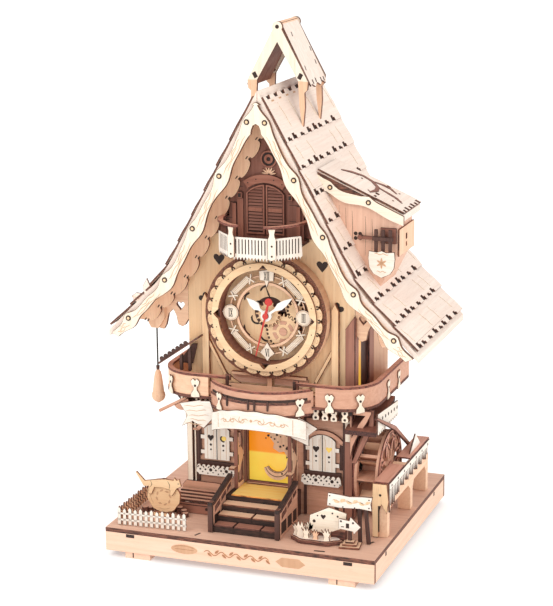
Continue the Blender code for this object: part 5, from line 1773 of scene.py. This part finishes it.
def make_flowers():
    edge = []
    for k in range(36):
        angle = k * math.pi / 18
        ripple = math.cos(k * 1.05)
        edge.append((54.0 + (19.0 + ripple) * math.cos(angle),
                     -75.0 + (8.2 + 0.8 * ripple) * math.sin(angle)))
    trim("flower_bed", "rose", flat(23.2), 2.8, edge, grain="X")
    top = [(54 + (u - 54) * 0.93, -75 + (v + 75) * 0.9) for u, v in edge]
    trim("flower_bed_top", "blush", flat(26.0), 0.9, top, grain="X")
    half = [(0.0, 0.0), (0.9, 0.0), (0.7, 3.4), (3.0, 6.0), (3.8, 10.2), (2.0, 8.6), (1.2, 11.4),
            (0.0, 9.2)]
    short = [(0.0, 0.0), (2.2, 0.0), (1.6, 2.6), (3.6, 7.2), (1.8, 5.2), (1.0, 8.0), (0.0, 5.6)]
    blooms = Piece("flower_cutouts", "cream", "Z")
    beds = ((42.0, -76.5, short, 1.5), (47.5, -79.5, short, 1.1), (53.5, -73.0, half, 1.5))
    beds += ((63.5, -80.5, short, 1.2), (38.4, -74.0, short, 1.2), (48.0, -74.0, half, 1.0))
    for u, y, shape, size in beds:
        blooms.cut(moved(mirrored(shape), 0.0, 0.0, 0.0, size), facing(u, y, 26.6, 0.0), 1.3)
    blooms.done()
    dark = Piece("flower_cutouts_dark", "tan", "Z")
    dark.cut(moved(mirrored(half), 0.0, 0.0, 0.0, 1.75), facing(63.0, -73.4, 26.6, 0.0), 1.3)
    dark.cut(moved(mirrored(short), 0.0, 0.0), facing(55.0, -80.4, 26.6, 0.0), 1.3)
    dark.done()


# --- water wheel and flume --------------------------------------------------------


def make_wheel():
    """Tracery, pins and buckets of the water wheel."""
    low, high = span("water_wheel")
    cy, cz = (low.y + high.y) / 2, (low.z + high.z) / 2
    radius = (high.z - low.z) / 2
    stain_node("water_wheel", "rose", "Y", "XYZ")
    tracery = Piece("wheel_tracery", "rosy", "Y", "wheel")
    for x in (low.x - 0.9, high.x - 0.3):
        for turn in range(0, 360, 45):
            bow = moved(arc(0.0, radius * 0.56, radius * 0.37, -25.0, 205.0, 14), 0.0, 0.0, turn)
            tracery.cut(ribbon(moved(bow, cy, cz), 2.2), side(x), 1.1)
        ring = disc(cy, cz, radius, 48)
        tracery.cut(ring, side(x), 1.1, holes=(disc(cy, cz, radius - 2.4, 48),))
        tracery.cut(disc(cy, cz, 7.0, 24), side(x), 1.1, holes=(disc(cy, cz, 2.6, 16),))
    tracery.done()
    pins = Piece("wheel_pins", "burnt", "Y", "wheel", halo=0)
    for turn in range(0, 360, 30):
        u, v = arc(cy, cz, radius - 4.0, turn, turn + 1, 1)[0]
        for x in (low.x - 0.9 - PROUD, high.x + 0.8):
            pins.cut(disc(u, v, 0.9, 8), side(x), PROUD)
    pins.done()
    buckets = Piece("wheel_buckets", "tan", "X", "wheel")
    for turn in range(0, 360, 30):
        bearing = math.radians(turn)
        out = Vector((0, math.cos(bearing), math.sin(bearing)))
        start = Vector((low.x + 2.6, cy, cz)) + out * (radius - 9.0)
        buckets.cut(rect(0.0, 0.0, high.x - low.x - 5.4, 8.6), plane(start, (1, 0, 0), out), 1.2)
    buckets.done()


def make_flume():
    """Trough over the wheel, with an icicle fringe, and its front post."""
    low, high = span("flume")
    stain_node("flume", "tan", "Y", "XYZ")
    near = rect(low.x - 0.3, low.y - 0.6, high.x + 0.8, -10.0)
    far = rect(low.x - 0.3, 6.0, high.x + 0.8, high.y)
    trim("flume_top", "rosy", flat(high.z), 1.2, near, far, grain="Y")
    lace = Piece("flume_icicles", "white", "Z", halo=0.12)
    holes = engraving("flume_icicle_dots")
    edge, y = [(low.y + 0.4, high.z - 0.2)], low.y + 0.4
    index = 0
    while y < high.y - 5.0:
        near = max(0.0, 1.0 - (y - low.y) / 30.0)
        drop = 5.0 + 9.0 * near + (3.4, 0.6, 2.2)[index % 3]
        edge += [(y + 0.3, high.z - 5.0), (y + 1.7, high.z - 5.4 - drop), (y + 3.4, high.z - 5.0)]
        if index % 4 == 1:
            holes.cut(disc(y + 2.0, high.z - 2.8, 1.0, 10), side(high.x + 1.5), PROUD)
        y += 4.1
        index += 1
    edge += [(high.y - 0.4, high.z - 4.0), (high.y - 0.4, high.z - 0.2)]
    lace.cut(edge, side(high.x + 0.2), 1.3)
    close(lace, holes)
    post = [(low.x - 0.6, low.z + 0.2), (low.x + 4.0, low.z + 0.2), (low.x + 4.2, 44.0),
            (low.x + 6.0, 49.0), (high.x, 42.0), (high.x + 1.4, 52.0), (high.x, high.z),
            (low.x - 0.8, high.z), (low.x - 1.2, 54.0)]
    trim("flume_front_post", "sand", front(low.y - 1.7), 1.6, post)
    key = disc(96.0, 56.4, 1.0, 10)
    crack = [(94.6, 28.0), (95.6, 28.0), (95.4, 44.0), (96.4, 48.0), (94.4, 48.0)]
    burn("flume_keyhole", front(low.y - 1.7 - PROUD), key, crack)
    trim("flume_triangle", "white", side(98.0), 1.2, [(14.0, 66.0), (44.0, 66.0), (30.0, 78.0)], grain="Y")
    trim("axle_cap", "rose", side(high.x + 0.2), 0.9, disc(-2.0, 58.0, 3.6, 16),
         holes=(disc(-2.0, 58.0, 1.4, 10),))


# --- base and light pull ----------------------------------------------------------


BASE_HALF = 105.0  # half the width of the base


def make_base():
    """Slots and scroll engraving of the base."""
    low, high = span("base_front_panel")
    face = low.y - PROUD
    slots = [rect(x - 3.35, 16.8, x + 3.35, 19.3) for x in (-85.0, 85.0)]
    depth_to_rear = 188.0
    burn("base_front_slots", front(face), *slots)
    burn("base_rear_slots", front(high.y + depth_to_rear), *slots, depth=3.0 + PROUD)
    hexagon = [(30.0, 13.0), (35.0, 16.6), (48.0, 16.6), (53.0, 13.0), (48.0, 9.4), (35.0, 9.4)]
    plates = [disc(-41.5, 13.2, 10.5, 28, 0.34), hexagon]
    burn("base_engraving", front(face), *plates, stain="faint")
    curls = [ribbon(wavy((-26.0, 13.0), (25.0, 13.0), 36, 1.7, 4.5), 0.7)]
    for index in range(9):
        lean = -50.0 if index % 2 else -130.0
        curls.append(moved(leaf(4.4, 2.0), -23.0 + index * 5.7, 13.0, lean))
    curls += [rect(-49.0, 12.9, -34.0, 13.3), ribbon(arc(-41.5, 13.2, 9.0, 20.0, 160.0, 8, 0.3), 0.4)]
    burn("base_scroll", front(face - 0.05), *curls, depth=0.35, stain="mark")
    sides = [rect(y - 1.4, 17.6, y + 1.4, 20.6) for y in (-68.3, 64.6)]
    burn("base_side_slots", side(-BASE_HALF - PROUD), *[lift(slot, -1.4) for slot in sides],
         depth=2 * (BASE_HALF + PROUD))
    deck_slots = ((4.0, 0.9, 62.0, -92.0, 4.0), (2.0, 0.9, 93.0, -63.9, 60.0),
                  (3.0, 0.7, -34.0, -89.0, 70.0))
    deck = [moved(rect(-u, -v, u, v), x, y, turn) for u, v, x, y, turn in deck_slots]
    burn("deck_slots", flat(23.0 - 0.1), *deck, depth=0.1 + PROUD)
    for word in ("left", "right"):
        rail = span(f"foot_rail_{word}")[0]
        burn(f"runner_{word}_joint", front(rail.y - PROUD), rect(rail.x + 6.0, 0.6, rail.x + 6.8, 4.6))


def make_pull():
    """Cord of the light pull, with the knot that holds the turned weight."""
    low, high = span("pull_cord")
    x, y = (low.x + high.x) / 2, (low.y + high.y) / 2
    count = 19
    curve = bpy.data.curves.new("light_pull_cord", "CURVE")
    curve.dimensions = "3D"
    curve.bevel_depth = (high.x - low.x) / 2 * MM
    curve.bevel_resolution = 4
    curve.use_fill_caps = True
    spline = curve.splines.new("POLY")
    spline.points.add(count - 1)
    for index, point in enumerate(spline.points):
        share = index / (count - 1)
        spot = Vector((x, y, high.z + (low.z - high.z) * share)) * MM
        point.co = (*spot, 1.0)
    cord = bpy.data.objects.new("light_pull_cord", curve)
    show(cord)
    cord.data.materials.append(cord_material())
    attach(cord, "pull")
    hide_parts("pull_cord")
    knot = Piece("pull_knot", "dark", "Z", "pull", halo=0)
    knot.tube([(x, y, low.z + 2.6), (x, y, low.z + 1.8), (x, y, low.z + 0.2), (x, y, low.z - 0.4)], 1.5, 12,
              1.1)
    knot = knot.done(smooth=True)
    stain_node("pull_weight", "tan", "Z", "XYZ")
    weight = NODES["pull_weight"]
    weight.modifiers.clear()
    weight.data.shade_smooth()


# --- floor, light and camera ------------------------------------------------------


PAPER_GLOW = 0.3  # keeps the paper near white under the low light
WARM_WHITE = (1.0, 0.96, 0.9)


def make_stage():
    bpy.ops.mesh.primitive_plane_add(size=40.0, location=(0, 2.0, -0.0002))
    floor = bpy.context.object
    floor.name = "floor"
    material, _, shader = new_tree("seamless_paper")
    tune(shader, {"Base Color": (0.93, 0.93, 0.93, 1), "Emission Color": (1.0, 1.0, 1.0, 1),
                  "Emission Strength": PAPER_GLOW, "Roughness": 0.9})
    floor.data.materials.append(material)
    world = bpy.data.worlds.new("studio")
    bpy.context.scene.world = world
    bpy.context.scene.view_settings.view_transform = "Standard"
    world.use_nodes = True
    tune(world.node_tree.nodes["Background"], {"Color": (1.0, 0.99, 0.975, 1), "Strength": 0.92})
    for name, spot, size, power in (
        ("key", (-0.7, -1.7, 1.7), 0.9, 12.5),
        ("fill", (1.7, -0.9, 1.1), 1.2, 9.0),
    ):
        lamp = bpy.data.lights.new(name, "AREA")
        lamp.size = size
        lamp.energy = power
        lamp.color = WARM_WHITE
        obj = bpy.data.objects.new(name, lamp)
        obj.location = spot
        aim = Vector((0, 0, 0.2)) - Vector(spot)
        obj.rotation_euler = aim.to_track_quat("-Z", "Y").to_euler()
        show(obj)


def make_camera():
    """The photograph's viewpoint: above and to the right of the front."""
    data = bpy.data.cameras.new("camera")
    data.lens = 111.4  # found, like the angles and the place, by fitting corners seen in the photo
    camera = bpy.data.objects.new("camera", data)
    yaw, pitch, roll = 0.34727, 0.24891, -0.00824
    turn = Matrix.Rotation(yaw, 3, "Z") @ Matrix.Rotation(math.pi / 2 - pitch, 3, "X")
    turn = turn @ Matrix.Rotation(roll, 3, "Z")
    camera.rotation_euler = turn.to_euler()
    camera.location = (0.46533, -1.29286, 0.52989)
    show(camera)
    bpy.context.scene.camera = camera


make_camera()
make_pull()
make_stage()
carry_plates()
make_shingles()
make_gable_boards()
make_bargeboards()
make_eave_leaves()
make_cuckoo_bay()
make_cuckoo_balcony()
make_clock()
make_upper_wall()
make_dormer()
make_turret()
make_balcony()
make_banner()
make_windows()
make_ground_floor()
make_porch()
make_yard()
make_wheel()
make_flume()
make_base()
